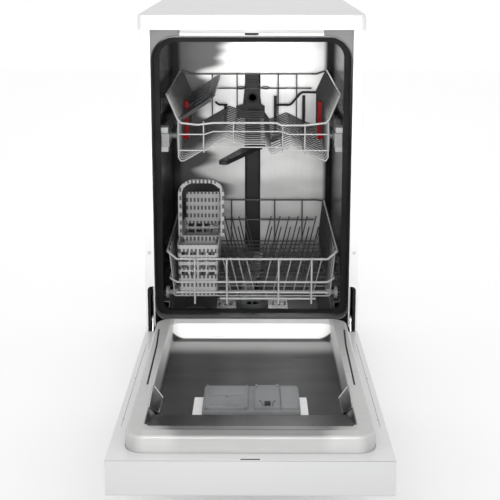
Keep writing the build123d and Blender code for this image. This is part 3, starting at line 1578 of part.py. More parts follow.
def door_nodes():
    """Pieces of the door, drawn flat."""
    return {
        "door_outer_panel": [make_outer_panel()],
        "door_liner": [make_liner()],
        "control_fascia": [make_fascia()],
        "power_button": [make_button(button_places[1])],
        "start_button": [make_button(button_places[0])],
        "programme_knob": [make_knob()],
        "control_module": [make_control_module()],
        "door_latch": [make_latch()],
        "hinge_arms": both_sides(make_hinge_arm()),
        "door_insulation": [make_insulation()],
        "dispenser_body": [make_dispenser()],
        "detergent_lid": [make_detergent_lid()],
        "rinse_aid_lid": [make_rinse_lid()],
    }


def rack_nodes():
    """Pieces of the two racks."""
    return {
        "upper_rails": make_upper_rails(),
        "rack_carriage": make_carriage(),
        "height_lever_left": [make_lever(-1)],
        "height_lever_right": [make_lever(1)],
        "upper_wheels_front": make_wheels(upper_wheel_rows[0], rail_centre, upper_wheel_x, upper_wheel_radius,
                                          wheel_axle, wheel_width),
        "upper_wheels_rear": make_wheels(upper_wheel_rows[1], rail_centre, upper_wheel_x, upper_wheel_radius,
                                         wheel_axle, wheel_width),
        "upper_rack_wires": make_upper_rack(),
        "upper_feed_duct": [make_feed_duct()],
        "upper_spray_arm": [make_spray_arm(upper_arm_centre, upper_arm_low, upper_arm_reach,
                                           90 - upper_arm_angle, arm_spigot)],
        "cup_shelf": [make_cup_shelf()],
        "lower_rack_wires": make_lower_rack(),
        "lower_axle_blocks": make_lower_axles(),
        "lower_wheels_front": make_wheels(lower_wheel_y(0), lower_wheel_z, lower_wheel_x, lower_wheel_radius,
                                          wheel_axle, wheel_width),
        "lower_wheels_rear": make_wheels(lower_wheel_y(lower_cross_wires - 2), lower_wheel_z, lower_wheel_x,
                                         lower_wheel_radius, wheel_axle, wheel_width),
        "plate_tines": make_tines(),
        "cutlery_basket": [make_cutlery_basket()],
    }


def main():
    os.makedirs("parts", exist_ok=True)
    nodes = root_nodes()
    nodes.update(rack_nodes())
    for name, shapes in door_nodes().items():
        nodes[name] = [on_door(shape) for shape in shapes]
    front = min(shape.bounding_box().min.Y for shape in nodes["control_fascia"])
    centre = Pos(0, -(front + worktop_depth) / 2, 0)
    for name, shapes in nodes.items():
        solids = [solid for shape in shapes for solid in (centre * shape).solids()]
        export_step(Compound(children=solids) if len(solids) > 1 else solids[0], f"parts/{name}.step")
    print(len(nodes), "nodes, depth shift", round(-(front + worktop_depth) / 2, 3))
    return nodes


main()
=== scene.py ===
# %% [markdown]
# # A slimline dishwasher with its door open
# The solids, joints and sizes come from the construction model. This lesson dresses them: each
# finish is a small network of nodes, and details too fine for the construction model are surfaces
# worked out with numpy. Lengths are in metres, and +Y points to the back of the machine.

# %% Load the frame
import math

import bpy
import numpy as np
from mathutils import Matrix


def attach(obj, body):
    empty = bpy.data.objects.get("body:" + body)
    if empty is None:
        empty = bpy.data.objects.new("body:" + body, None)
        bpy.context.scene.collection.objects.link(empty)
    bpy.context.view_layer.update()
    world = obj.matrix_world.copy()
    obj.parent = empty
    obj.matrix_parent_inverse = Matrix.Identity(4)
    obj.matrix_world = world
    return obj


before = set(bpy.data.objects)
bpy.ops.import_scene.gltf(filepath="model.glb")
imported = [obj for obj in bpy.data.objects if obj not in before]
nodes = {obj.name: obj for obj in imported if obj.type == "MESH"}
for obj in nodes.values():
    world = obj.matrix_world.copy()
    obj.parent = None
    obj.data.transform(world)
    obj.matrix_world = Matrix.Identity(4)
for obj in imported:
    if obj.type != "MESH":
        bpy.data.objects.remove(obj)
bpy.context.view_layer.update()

# %% [markdown]
# ## Arithmetic on sockets
# A finish is mostly sums: a colour is a base plus a little of this noise and a little of that one.
# Written as Math nodes such a sum is hard to read, so one small class wraps a socket and lets
# Python's own operators add the nodes.

# %% A socket that can be added and multiplied


class Val:
    """A node's output socket; every operator adds the Math node for it."""

    def __init__(self, finish, socket):
        self.finish = finish
        self.socket = socket

    def math(self, operation, first, second=None):
        """The operation's result on one or two numbers or sockets."""
        values = {0: first} if second is None else {0: first, 1: second}
        return self.finish.node("ShaderNodeMath", {"operation": operation}, values)

    def __add__(self, other):
        return self.math("ADD", self, other)

    def __radd__(self, other):
        return self.math("ADD", other, self)

    def __sub__(self, other):
        return self.math("SUBTRACT", self, other)

    def __rsub__(self, other):
        return self.math("SUBTRACT", other, self)

    def __mul__(self, other):
        return self.math("MULTIPLY", self, other)

    def __rmul__(self, other):
        return self.math("MULTIPLY", other, self)

    def __truediv__(self, other):
        return self.math("DIVIDE", self, other)

    def __rtruediv__(self, other):
        return self.math("DIVIDE", other, self)

    def __abs__(self):
        return self.math("ABSOLUTE", self)

    def __gt__(self, other):
        return self.math("GREATER_THAN", self, other)

    def __lt__(self, other):
        return self.math("LESS_THAN", self, other)

    def fade(self, start, end):
        """0 below start and 1 above end, with a smooth step between them."""
        settings = {"interpolation_type": "SMOOTHSTEP"}
        return self.finish.node("ShaderNodeMapRange", settings, {"Value": self, 1: start, 2: end})


class Finish:
    """A material in the making: one method adds nodes, the others are short names for common ones."""

    def __init__(self, name):
        self.material = bpy.data.materials.new(name)
        self.material.use_nodes = True
        self.tree = self.material.node_tree
        self.shader = self.tree.nodes["Principled BSDF"]

    def node(self, kind, settings=None, values=None, out=0):
        """A new node: its settings first, then the numbers or links of its sockets."""
        made = self.tree.nodes.new(kind)
        for key, value in (settings or {}).items():
            setattr(made, key, value)
        for key, value in (values or {}).items():
            self.feed(made.inputs[key], value)
        return Val(self, made.outputs[out])

    def feed(self, target, value):
        """A link when the value is a socket, and otherwise the value itself."""
        if isinstance(value, Val):
            self.tree.links.new(value.socket, target)
        else:
            target.default_value = value

    def set(self, **values):
        """Sockets of the shader, by their names with _ for a space."""
        for key, value in values.items():
            self.feed(self.shader.inputs[key.replace("_", " ")], value)
        return self

    def place(self, stretch=(1, 1, 1)):
        """The point on the piece, in metres, stretched for a pattern."""
        point = self.node("ShaderNodeTexCoord", out="Object")
        values = {"Vector": point, "Scale": stretch}
        return self.node("ShaderNodeMapping", None, values)

    def axis(self, index):
        """One coordinate of the point on the piece, in metres."""
        point = self.node("ShaderNodeTexCoord", out="Object")
        return self.node("ShaderNodeSeparateXYZ", None, {0: point}, out=index)

    def noise(self, scale, detail=3.0, stretch=(1, 1, 1)):
        """A value near 0.5 that wanders over the piece, scale times per metre."""
        values = {"Vector": self.place(stretch), "Scale": scale, "Detail": detail}
        return self.node("ShaderNodeTexNoise", None, values)

    def mix(self, share, first, second):
        """A colour between two others."""
        settings = {"data_type": "RGBA"}
        values = {0: share, 6: first, 7: second}
        return self.node("ShaderNodeMix", settings, values, out=2)

    def bump(self, height, strength, distance):
        """A normal tilted by the slope of the height, which stands for distance metres at 1."""
        values = {"Height": height, "Strength": strength, "Distance": distance}
        return self.node("ShaderNodeBump", None, values)


def grey(level, alpha=1.0):
    """A neutral colour."""
    return (level, level, level, alpha)


print("arithmetic on sockets is ready")

# %% [markdown]
# ## White enamel and white plastic
# The cabinet and door are steel sheet with baked white enamel: very smooth, with the faintest
# ripple, and a touch less white where hands and cloths have passed. The worktop and the control
# fascia are white plastic with a finer grain. Both get a clear coat for the soft highlight.

# %% White finishes


def enamel(name, level, grain, depth, gloss):
    """White of the level, a few percent darker and cooler where the broad noise is high."""
    finish = Finish(name)
    broad = finish.noise(3.0, 4.0)
    fine = finish.noise(grain, 3.0)
    handled = (level * 0.965, level * 0.97, level * 0.98, 1)
    colour = finish.mix(broad.fade(0.35, 0.7), grey(level), handled)
    finish.set(Base_Color=colour, Roughness=gloss + 0.08 * broad)
    finish.set(Coat_Weight=0.25, Coat_Roughness=0.12)
    finish.set(Normal=finish.bump(fine + 0.3 * broad, depth, 0.0004))
    return finish.material


white_enamel = enamel("white_enamel", 0.66, 260.0, 0.10, 0.26)
white_plastic = enamel("white_plastic", 0.52, 900.0, 0.18, 0.34)
fascia_plastic = enamel("fascia_plastic", 0.60, 900.0, 0.18, 0.36)
print("white finishes:", white_enamel.name, white_plastic.name, fascia_plastic.name)

# %% [markdown]
# ## Stainless and zinc-coated steel
# The tub and the inner door are stainless sheet with a rolled satin surface: mostly mirror, blurred
# along the rolling direction. Stretched noise drives the roughness and a very shallow bump. Zinc
# coated parts have soft blotches instead. The grain runs with X on the door and with Z on the tub.

# %% Steel finishes


def rolled_steel(name, level, gloss, stretch, bump=0.05):
    """Metal whose grey runs from 0.9 of the level to the level with the rolling grain."""
    finish = Finish(name)
    grain = finish.noise(420.0, 4.0, stretch)
    cloud = finish.noise(4.0, 3.0)
    share = 0.55 * grain + 0.45 * cloud
    finish.set(Base_Color=finish.mix(share, grey(level * 0.90), grey(level)), Metallic=1.0)
    finish.set(Roughness=gloss + 0.10 * (grain - 0.5) + 0.06 * (cloud - 0.5))
    finish.set(Normal=finish.bump(grain, bump, 0.0002))
    return finish.material


def zinc(name, level, gloss):
    """Metal with crystal blotches: half the share from cells and half from a soft noise."""
    finish = Finish(name)
    values = {"Vector": finish.place(), "Scale": 140.0}
    cells = finish.node("ShaderNodeTexVoronoi", {"feature": "F1"}, values)
    cloud = finish.noise(30.0, 3.0)
    share = 0.5 * cells + 0.5 * cloud
    finish.set(Base_Color=finish.mix(share, grey(level * 0.82), grey(level)), Metallic=0.9)
    finish.set(Roughness=gloss + 0.15 * (share - 0.5))
    return finish.material


plain_steel = rolled_steel("plain_steel", 0.62, 0.25, (0.03, 1, 1))
# This lighter copy of the stainless gives painted highlights along edges of the door.
highlight_steel = rolled_steel("highlight_steel", 0.92, 0.18, (0.03, 1, 1), bump=0.02)
zinc_steel = zinc("zinc_steel", 0.55, 0.42)
print("steel finishes:", plain_steel.name, highlight_steel.name, zinc_steel.name)

# %% [markdown]
# ## Steel with light and shade painted by place
# A polished sheet shows the room; here its reflections and shade are painted into the colour. The
# tub's side walls face each other and are painted dark but for upright streaks of painted
# reflection; its rear wall faces the lamp and is painted bright, except on the left where the cup
# shelf stands before it and a painted shadow falls. The inner door's pan is painted dark, its hinge
# end painted bright. The tone of the steel is set by the point's place, with soft steps between the
# zones. Each pair of numbers below is where such a step starts and where it ends, in metres. The
# wires, the crossbar and the rails get their tones in the same way; on the wires it is painted
# shade, darker towards the rear of the racks.

# %% Zones of the tub and of the inner door


def zoned(name, tone, gloss, grain_stretch, metal, shine=0.12):
    """A finish whose grey is tone(finish, x, y, z), times 0.94 to 1.06 with the grain."""
    finish = Finish(name)
    place = [finish.axis(index) for index in range(3)]
    grain = finish.noise(300.0, 3.0, grain_stretch)
    level = tone(finish, *place) * (0.94 + 0.12 * grain)
    channels = {0: level, 1: level * 0.998, 2: level * 0.99}
    colour = finish.node("ShaderNodeCombineColor", None, channels)
    finish.set(Base_Color=colour, Metallic=metal, Roughness=gloss + 0.05 * grain)
    finish.set(Specular_IOR_Level=shine)
    finish.set(Normal=finish.bump(grain, 0.03, 0.0002))
    return finish.material


def blend(share, first, second):
    """first + (second - first) * share: first at share 0 and second at share 1."""
    return first + (second - first) * share


rear_wall = (0.515, 0.535)
ceiling = (0.790, 0.800)
tub_floor = (0.200, 0.250)
side_walls = (0.176, 0.190)


def tub_tone(finish, x, y, z):
    """Painted light: dark streaked walls, bright rear wall with a dark left part, grey floor."""
    # The upright streaks are painted reflections on the dark side walls.
    reflected_streak = finish.noise(1.0, 3.0, (1, 90, 2)).fade(0.56, 0.72)
    wall = blend(reflected_streak, 0.010, 0.30)
    # The band and the sheen are a painted reflection of the lamp, brighter higher up the rear wall.
    band = finish.noise(1.0, 2.0, (3, 1, 14)).fade(0.30, 0.70)
    sheen = blend(band, 0.74, 1.0) * blend(z.fade(0.30, 0.62), 0.70, 1.0)
    # The dark left part of the rear wall is painted shade where the cup shelf stands before it.
    left = (x + 0.10 * band).fade(-0.085, -0.030)
    rear = blend(left, 0.13, 1.0) * sheen
    # The ceiling is painted darker and the tub floor is painted grey.
    tone = blend(y.fade(*rear_wall), blend(z.fade(*ceiling), wall, 0.10), rear)
    tone = blend(abs(x).fade(*side_walls), tone, wall)
    return blend(z.fade(*tub_floor), 0.17, tone)


hinge_to_front = 0.0472
slope_foot = (0.073, 0.077)
pan_crease = (0.090, 0.100)
pan_floor = (0.118, 0.175)
pan_front = (0.30, 0.45)
ramp = (0.468, 0.471)
ramp_top = (0.541, 0.546)
rim_start = (0.562, 0.566)
panel_start = (0.582, 0.590)
frame_across = (-0.0988, 0.0978)
frame_along = (0.3870, 0.4680)


def pan_tone(finish, x, y, z):
    """Grey pan in bands of painted light along v, the distance from the hinge; bright flanks, frame.
    """
    v = hinge_to_front - y
    edge = abs(x)
    soft = finish.noise(9.0, 2.0, (1, 3, 1)).fade(0.3, 0.7)
    # Every tone here is painted light on the steel: the bright hinge end and crease, the dark pan
    # floor and ramp, and the brighter rim, flanks and frame.
    tone = blend(v.fade(*slope_foot), 0.95, 0.05)
    tone = blend(v.fade(*pan_crease), tone, 0.42)
    tone = blend(v.fade(*pan_floor), tone, blend(soft, 0.045, 0.062))
    tone = blend(v.fade(*pan_front), tone, 0.060)
    tone = blend(v.fade(*ramp), tone, 0.022)
    tone = blend(v.fade(*ramp_top), tone, blend(edge.fade(0.12, 0.15), 0.16, 0.45))
    tone = blend(v.fade(*rim_start), tone, blend(edge.fade(0.105, 0.135), 0.30, 0.52))
    flank = blend(v.fade(0.15, 0.36), 0.62, 0.28)
    tone = blend(edge.fade(0.1605, 0.1640) * (1 - v.fade(0.47, 0.50)), tone, flank)
    tone = blend(edge.fade(0.168, 0.172), tone, 0.48)
    within = (x > frame_across[0]) * (x < frame_across[1])
    within = within * (v > frame_along[0]) * (v < frame_along[1])
    tone = blend(within, tone, 0.85)
    return blend(v.fade(*panel_start), tone, 0.66)


def wire_tone(finish, x, y, z):
    """Nylon grey with painted shade: 0.36 at the front of the racks, falling to 0.045 at the rear."""
    cloud = finish.noise(18.0, 3.0)
    return blend(y.fade(0.03, 0.22), 0.36, 0.045) * (0.92 + 0.16 * cloud)


def crossbar_tone(finish, x, y, z):
    """Bright bar between two grey gussets."""
    return blend(abs(x).fade(0.1435, 0.1445), 0.52, 0.17)


rail_front = (0.0740, 0.0742)
rail_rear = (0.5018, 0.5020)


def rail_finish():
    """Bright rail between two grey end caps, told apart by how far back the point is."""
    finish = Finish("rail_steel")
    y = finish.axis(1)
    cap = 1 - y.fade(*rail_front) * (1 - y.fade(*rail_rear))
    grain = finish.noise(300.0, 3.0, (1, 0.03, 1))
    steel = finish.mix(grain, grey(0.50), grey(0.66))
    finish.set(Base_Color=finish.mix(cap, steel, grey(0.17)), Metallic=1 - cap)
    finish.set(Roughness=0.22 + 0.20 * cap + 0.05 * grain)
    return finish.material


tub_steel = zoned("tub_steel", tub_tone, 0.20, (1, 1, 0.03), 0.25)
door_steel = zoned("door_steel", pan_tone, 0.26, (0.03, 1, 1), 0.22)
coated_wire = zoned("coated_wire", wire_tone, 0.26, (1, 1, 1), 0.0, 0.35)
crossbar_steel = zoned("crossbar_steel", crossbar_tone, 0.40, (0.03, 1, 1), 0.10)
# This darker copy of the stainless is painted shade on the pan's facets.
facet_shade_steel = rolled_steel("facet_shade_steel", 0.22, 0.30, (1, 0.03, 1))
rail_steel = rail_finish()
print("zoned finishes:", tub_steel.name, door_steel.name, rail_steel.name)

# %% [markdown]
# ## Moulded plastics, coated wire, rubber and felt
# Moulded plastic differs in colour and in the grain of its mould. One function takes both, and its
# shine keeps dark parts dark where the lamp grazes them. The door seal is black rubber with a dusty
# bloom, the pad in the door is felt, and the cutlery basket has rows of small windows.

# %% Moulded finishes


def moulded(name, colour, gloss, grain=700.0, depth=0.15, spread=0.10, shine=0.3):
    """The colour times 1 - spread to 1 + spread with a soft cloud, over a fine mould grain."""
    finish = Finish(name)
    fine = finish.noise(grain, 3.0)
    cloud = finish.noise(18.0, 3.0)
    worn = tuple(min(1.0, part * (1 + spread)) for part in colour) + (1,)
    deep = tuple(part * (1 - spread) for part in colour) + (1,)
    finish.set(Base_Color=finish.mix(cloud.fade(0.3, 0.7), deep, worn))
    finish.set(Roughness=gloss + 0.12 * (fine - 0.5), Specular_IOR_Level=shine)
    finish.set(Normal=finish.bump(fine, depth, 0.0003))
    return finish.material


grey_plastic = moulded("grey_plastic", (0.200, 0.208, 0.212), 0.42)
pale_plastic = moulded("pale_plastic", (0.30, 0.31, 0.315), 0.38)
dark_plastic = moulded("dark_plastic", (0.012, 0.012, 0.013), 0.40, shine=0.12)
port_plastic = moulded("port_plastic", (0.022, 0.022, 0.024), 0.36, shine=0.15)
olive_plastic = moulded("olive_plastic", (0.125, 0.145, 0.130), 0.42)
smoked_plastic = moulded("smoked_plastic", (0.030, 0.032, 0.035), 0.30, 400.0, 0.06, shine=0.15)
red_plastic = moulded("red_plastic", (0.20, 0.002, 0.004), 0.40, 500.0, 0.08, shine=0.05)
milky_plastic = moulded("milky_plastic", (0.55, 0.60, 0.62), 0.30)
seal_rubber = moulded("seal_rubber", (0.010, 0.010, 0.011), 0.55, 500.0, 0.2, 0.25, 0.08)
bitumen = moulded("bitumen", (0.020, 0.018, 0.017), 0.75, 200.0, 0.5)
felt = moulded("felt", (0.16, 0.16, 0.165), 0.95, 900.0, 0.9, 0.3)


def woven(name, light, dark, pitch, share):
    """Plastic with rows of small windows: dark where both the run and the height fall in a cell."""
    finish = Finish(name)
    x, y, z = (finish.axis(index) for index in range(3))
    run = x + y
    cells = []
    for place, step in ((run, pitch), (z, 2.2 * pitch)):
        wave = place.math("PINGPONG", place, step / 2) / (step / 2)
        cells.append(wave.fade(share, share + 0.12))
    window = cells[0] * cells[1]
    cloud = finish.noise(18.0, 3.0)
    # The windows are not cut through: their dark is painted shade standing for the openings.
    colour = finish.mix(window, grey(light), grey(dark))
    finish.set(Base_Color=colour, Roughness=0.34 + 0.10 * cloud)
    finish.set(Normal=finish.bump(1 - window, 0.4, 0.0006))
    return finish.material


basket_plastic = woven("basket_plastic", 0.30, 0.045, 0.0085, 0.42)
print("moulded finishes are ready")

# %% Every node gets its finish

finish_of = {
    "worktop": white_plastic, "side_panel_right": white_enamel, "side_panel_left": white_enamel,
    "rear_panel": zinc_steel, "front_crossbar": crossbar_steel, "tub": tub_steel,
    "tub_gasket": seal_rubber, "sound_mat": bitumen, "hinge_brackets": zinc_steel,
    "hinge_covers": dark_plastic,
    "base_pan": dark_plastic, "plinth": white_enamel, "rear_feet": dark_plastic,
    "foot_front_left": dark_plastic, "foot_front_right": dark_plastic, "sump": dark_plastic,
    "softener_tank": pale_plastic, "salt_cap": grey_plastic, "circulation_pump": grey_plastic,
    "drain_pump": grey_plastic, "air_break_chamber": milky_plastic, "spray_feed_pipe": port_plastic,
    "filter_plate": plain_steel, "filter_cup": grey_plastic, "lower_spray_arm": grey_plastic,
    "inlet_valve": pale_plastic, "drain_outlet": dark_plastic, "cable_gland": dark_plastic,
    "door_springs": zinc_steel, "cabinet_screws": zinc_steel, "rail_guides": pale_plastic,
    "door_outer_panel": white_enamel, "door_liner": door_steel, "control_fascia": fascia_plastic,
    "power_button": grey_plastic, "start_button": grey_plastic, "programme_knob": pale_plastic,
    "control_module": dark_plastic, "door_latch": dark_plastic, "hinge_arms": zinc_steel,
    "door_insulation": felt, "dispenser_body": grey_plastic, "detergent_lid": grey_plastic,
    "rinse_aid_lid": grey_plastic, "upper_rails": rail_steel, "rack_carriage": olive_plastic,
    "height_lever_left": red_plastic, "height_lever_right": red_plastic,
    "upper_wheels_front": grey_plastic, "upper_wheels_rear": grey_plastic,
    "upper_rack_wires": coated_wire, "upper_feed_duct": dark_plastic, "upper_spray_arm": port_plastic,
    "cup_shelf": smoked_plastic, "lower_rack_wires": coated_wire, "lower_axle_blocks": grey_plastic,
    "lower_wheels_front": grey_plastic, "lower_wheels_rear": grey_plastic, "plate_tines": coated_wire,
    "cutlery_basket": basket_plastic,
}


def dress(piece, material):
    """Puts one material in every slot of a piece."""
    if not piece.data.materials:
        piece.data.materials.append(material)
    for slot in piece.material_slots:
        slot.material = material


for name, material in finish_of.items():
    dress(nodes[name], material)
print("without a finish:", sorted(set(nodes) - set(finish_of)))

# %% [markdown]
# ## Helpers for new surfaces
# Every new piece is a grid of points: rows run along it and columns run round it. One function
# turns the grid into a mesh and closes it; the others work out grids for wires, plates and knobs.

# %% Grids to pieces

worktop_front = 0.006154


def at(x, y, z):
    """A point given in millimetres from the worktop's front edge, in metres in the frame."""
    return np.array([x / 1000, y / 1000 + worktop_front, z / 1000])


def skin(grid, wrap=True, caps=True):
    """Vertices and faces of a grid: neighbours joined, columns wrapped, ends closed on a point."""
    rows, cols = grid.shape[:2]
    index = np.arange(rows * cols).reshape(rows, cols)
    after = np.roll(index, -1, axis=1) if wrap else index[:, 1:]
    here = index if wrap else index[:, :-1]
    quads = np.stack([here[:-1], after[:-1], after[1:], here[1:]], -1).reshape(-1, 4)
    points = grid.reshape(-1, 3)
    faces = quads.tolist()
    if caps:
        points = np.vstack([points, grid[0].mean(0), grid[-1].mean(0)])
        first = np.stack([after[0], here[0], np.full(here.shape[1], rows * cols)], -1)
        last = np.stack([here[-1], after[-1], np.full(here.shape[1], rows * cols + 1)], -1)
        faces += first.tolist() + last.tolist()
    return points, faces


def piece(name, parts, material, body, slot, smooth=40.0):
    """One object from several (points, faces) parts, dressed and riding on a body."""
    points, faces, count = [], [], 0
    for part_points, part_faces in parts:
        points.append(part_points)
        faces += [[corner + count for corner in face] for face in part_faces]
        count += len(part_points)
    mesh = bpy.data.meshes.new(name)
    mesh.from_pydata(np.vstack(points).tolist(), [], faces)
    mesh.polygons.foreach_set("use_smooth", np.ones(len(mesh.polygons), bool))
    mesh.set_sharp_from_angle(angle=math.radians(smooth))
    mesh.update()
    made = bpy.data.objects.new(name, mesh)
    bpy.context.scene.collection.objects.link(made)
    dress(made, material)
    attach(made, body)
    return made


def rounded_path(points, bend, steps=6):
    """Points along a polyline whose corners are replaced by small parabolas of the given reach."""
    points = np.array(points, float)
    before = points[:-2] - points[1:-1]
    after = points[2:] - points[1:-1]
    lengths = [np.linalg.norm(side, axis=1, keepdims=True) for side in (before, after)]
    reach = [np.minimum(bend, 0.45 * length) / length for length in lengths]
    start = points[1:-1] + before * reach[0]
    end = points[1:-1] + after * reach[1]
    t = np.linspace(0, 1, steps)[None, :, None]
    start, corner, end = start[:, None], points[1:-1, None], end[:, None]
    curve = (1 - t) ** 2 * start + 2 * t * (1 - t) * corner + t ** 2 * end
    return np.vstack([points[:1], curve.reshape(-1, 3), points[-1:]])


def tube(points, radius, bend=0.004, sides=10):
    """A round wire: a circle of the radius in the plane square to the path at each of its points."""
    path = rounded_path(points, bend) if len(points) > 2 else np.array(points, float)
    along = np.gradient(path, axis=0)
    along /= np.linalg.norm(along, axis=1, keepdims=True)
    spread = np.abs(along).max(0)
    reference = np.eye(3)[int(np.argmin(spread))]
    side = np.cross(along, reference)
    side /= np.linalg.norm(side, axis=1, keepdims=True)
    other = np.cross(side, along)
    angle = np.linspace(0, 2 * np.pi, sides, endpoint=False)
    cosine, sine = np.cos(angle)[None, :, None], np.sin(angle)[None, :, None]
    ring = side[:, None] * cosine + other[:, None] * sine
    return skin((path[:, None] + radius * ring)[:, ::-1])


def turned(profile, centre, axis, sides=32):
    """A surface of revolution: the profile's (radius, height) pairs carried round an axis."""
    axis = np.array(axis, float) / np.linalg.norm(axis)
    reference = np.eye(3)[int(np.argmin(np.abs(axis)))]
    side = np.cross(axis, reference)
    side /= np.linalg.norm(side)
    other = np.cross(axis, side)
    angle = np.linspace(0, 2 * np.pi, sides, endpoint=False)
    ring = side[None] * np.cos(angle)[:, None] + other[None] * np.sin(angle)[:, None]
    profile = np.array(profile, float)
    grid = profile[:, :1, None] * ring[None] + profile[:, 1:, None] * axis[None, None]
    return skin(grid + np.array(centre)[None, None])


print("helpers are ready")

# %% [markdown]
# ## Details of the inner door
# The door's own coordinates are v, the distance from the hinge axis along the door, and w, out of
# it. The pressed steel has a flat facet on each side of the pan near its front, painted darker for
# shade and outlined in lighter steel for a painted highlight, and a dark strip beside the pan. The
# white flange carries a seam line with small screws.

# %% Plates, strips and buttons on the door

slope = math.radians(2.57)
along_door = np.array([0, -math.cos(slope), math.sin(slope)])
out_of_door = np.array([0, math.sin(slope), math.cos(slope)])
across = np.array([1.0, 0, 0])
hinge = at(0, 41.0, 202.4)


def door_at(x, v, w):
    """A point of the open door in millimetres, where the hinge axis is at w = 20."""
    return hinge + across * (x / 1000) + along_door * (v / 1000) + out_of_door * ((w - 20.0) / 1000)


def slab(outline, lift, inset=0.08):
    """A thin plate: its outline sunk a little, raised by lift, then drawn in for a soft edge."""
    outline = np.array(outline)
    lift = np.array(lift)
    middle = outline.mean(0)
    top = outline + (middle - outline) * inset + lift
    return skin(np.stack([outline - 0.3 * lift, outline, outline + 0.7 * lift, top]))


def strip(path, half, lift):
    """A flat band along a path: half is the vector to its edge and lift the one to its top."""
    path = np.array(path, float)[:, None]
    half, lift = np.array(half), np.array(lift)
    corners = np.array([(-1, -0.3), (-1, 0.7), (-0.8, 1), (0.8, 1), (1, 0.7), (1, -0.3)])
    return skin(path + corners[None, :, :1] * half + corners[None, :, 1:] * lift)


def button(centre, axis, radius, height):
    """A low dome on a surface: radius * cos t and height * sin t over a quarter turn."""
    turn = np.linspace(0, math.pi / 2, 7)[:-1]
    dome = [(radius * math.cos(t), height * math.sin(t)) for t in turn]
    profile = [(radius, -0.3 * height)] + dome
    return turned(profile, centre, axis, 20)


def oval(centre, first, second, count=24):
    """Points of an ellipse with the two half axes."""
    angle = np.linspace(0, 2 * np.pi, count, endpoint=False)[:, None]
    return np.array(centre) + np.cos(angle) * np.array(first) + np.sin(angle) * np.array(second)


facet_corners = ((173.0, 382, 28.3), (155.5, 383, 4.8), (157.0, 448, 4.8), (169.6, 478, 28.3))
strip_places = ((189, 88), (184.6, 177), (182, 380))
screw_places = ((214, 463), (215.5, 280), (213, 140))
seam_across = 214
seam_along = np.linspace(96, 492, 12)
liner_top = 28

facets, outlines, strips, seams, screws = [], [], [], [], []
for side in (-1, 1):
    ring = [door_at(side * x, v, w) for x, v, w in facet_corners]
    lift = np.array([-side * 0.0009, 0, 0.0004])
    facets.append(slab(ring, lift, 0.02))
    rim = [point + 1.4 * lift for point in ring]
    outlines.append(tube(rim + rim[:1], 0.0007, 0.001, 8))
    path = [door_at(side * x, v, liner_top) for x, v in strip_places]
    strips.append(strip(path, across * 0.0016, out_of_door * 0.0003))
    path = [door_at(side * seam_across, v, 0) for v in seam_along]
    seams.append(strip(path, across * 0.0004, out_of_door * 0.0002))
    for x, v in screw_places:
        screws.append(button(door_at(side * x, v, 0), out_of_door, 0.0022, 0.0008))
# The facets carry painted shade, and the tubes round their edges a painted highlight.
piece("pan_facets", facets, facet_shade_steel, "door", "stainless")
piece("pan_facet_edges", outlines, highlight_steel, "door", "stainless")
piece("liner_strips", strips, dark_plastic, "door", "rubber")
piece("flange_seams", seams, grey_plastic, "door", "grey_plastic")
piece("flange_screws", screws, zinc_steel, "door", "galvanised")
print(len(screws), "screws on the flange")

# %% [markdown]
# ## Details of the dispenser
# The sliding lid carries a small oval thumb mark. The rinse aid lid has two dots with short ribs
# beside its latch, and a bright line of steel, a painted highlight on the pan's front edge, lies
# before the dispenser's body.

# %% Marks on the lids

lid_top = 17.3
thumb = door_at(-41.4, 408.6, lid_top)
latch_x, latch_v, latch_top = 28.5, 426, 18.6
pan_line = 5.6

mark = slab(oval(thumb, across * 0.0032, along_door * 0.0012), out_of_door * 0.0006)
piece("thumb_mark", [mark], dark_plastic, "detergent_lid", "pale_grey_plastic")
marks = []
for side in (-1, 1):
    spot = door_at(latch_x + side * 12.5, latch_v, lid_top)
    marks.append(button(spot, out_of_door, 0.0014, 0.0010))
    bend = spot + along_door * 0.008 - across * side * 0.003
    end = spot + along_door * 0.022 - across * side * 0.004
    marks.append(tube([spot, bend, end], 0.0006, 0.002, 8))
# This bright strip is a painted highlight on the pan's front edge.
path = [door_at(x, 466.6, pan_line) for x in np.linspace(-96, 95, 9)]
line = strip(path, along_door * 0.0016, out_of_door * 0.0005)
piece("frame_line", [line], highlight_steel, "door", "stainless")
piece("latch_ribs", marks, dark_plastic, "rinse_aid_lid", "pale_grey_plastic")
catch_corners = ((-5.2, 429), (5.2, 429), (5.2, 449), (-5.2, 449))
ring = [door_at(latch_x + x, v, latch_top) for x, v in catch_corners]
catch = slab(ring, out_of_door * 0.0005)
piece("latch_face", [catch], dark_plastic, "rinse_aid_lid", "pale_grey_plastic")
print("the lids have their marks")

# %% [markdown]
# ## Details of the water dock and the racks
# The dock on the rear wall has a round nozzle with a low bead, and small clips beside it. The upper
# rack's back carries dark cushions and two bent bars, and two of its wires end in small eyes.

# %% Dock, cushions and bars

dock_face = 509.0
dock_height = 609
toward = np.array([0, -1.0, 0])
bead = [(0.0130, -0.001), (0.0135, 0.0004), (0.0125, 0.0010), (0.0105, 0.0012), (0.0092, 0.0010),
        (0.0090, -0.001)]
nozzle = turned(bead, at(0, dock_face, dock_height), toward, 40)
clips = []
for side in (-1, 1):
    for z in (571, 598, 634):
        ring = [at(side * x, dock_face, z + dz) for x, dz in ((15, -5), (20, -5), (20, 5), (15, 5))]
        clips.append(slab(ring, toward * 0.0012))
for z in (584, 647, 655):
    ring = [at(x, dock_face, z + dz) for x, dz in ((-12, -1.2), (12, -1.2), (12, 1.2), (-12, 1.2))]
    clips.append(slab(ring, toward * 0.0010))
piece("dock_nozzle", [nozzle] + clips, dark_plastic, "cabinet", "dark_plastic")

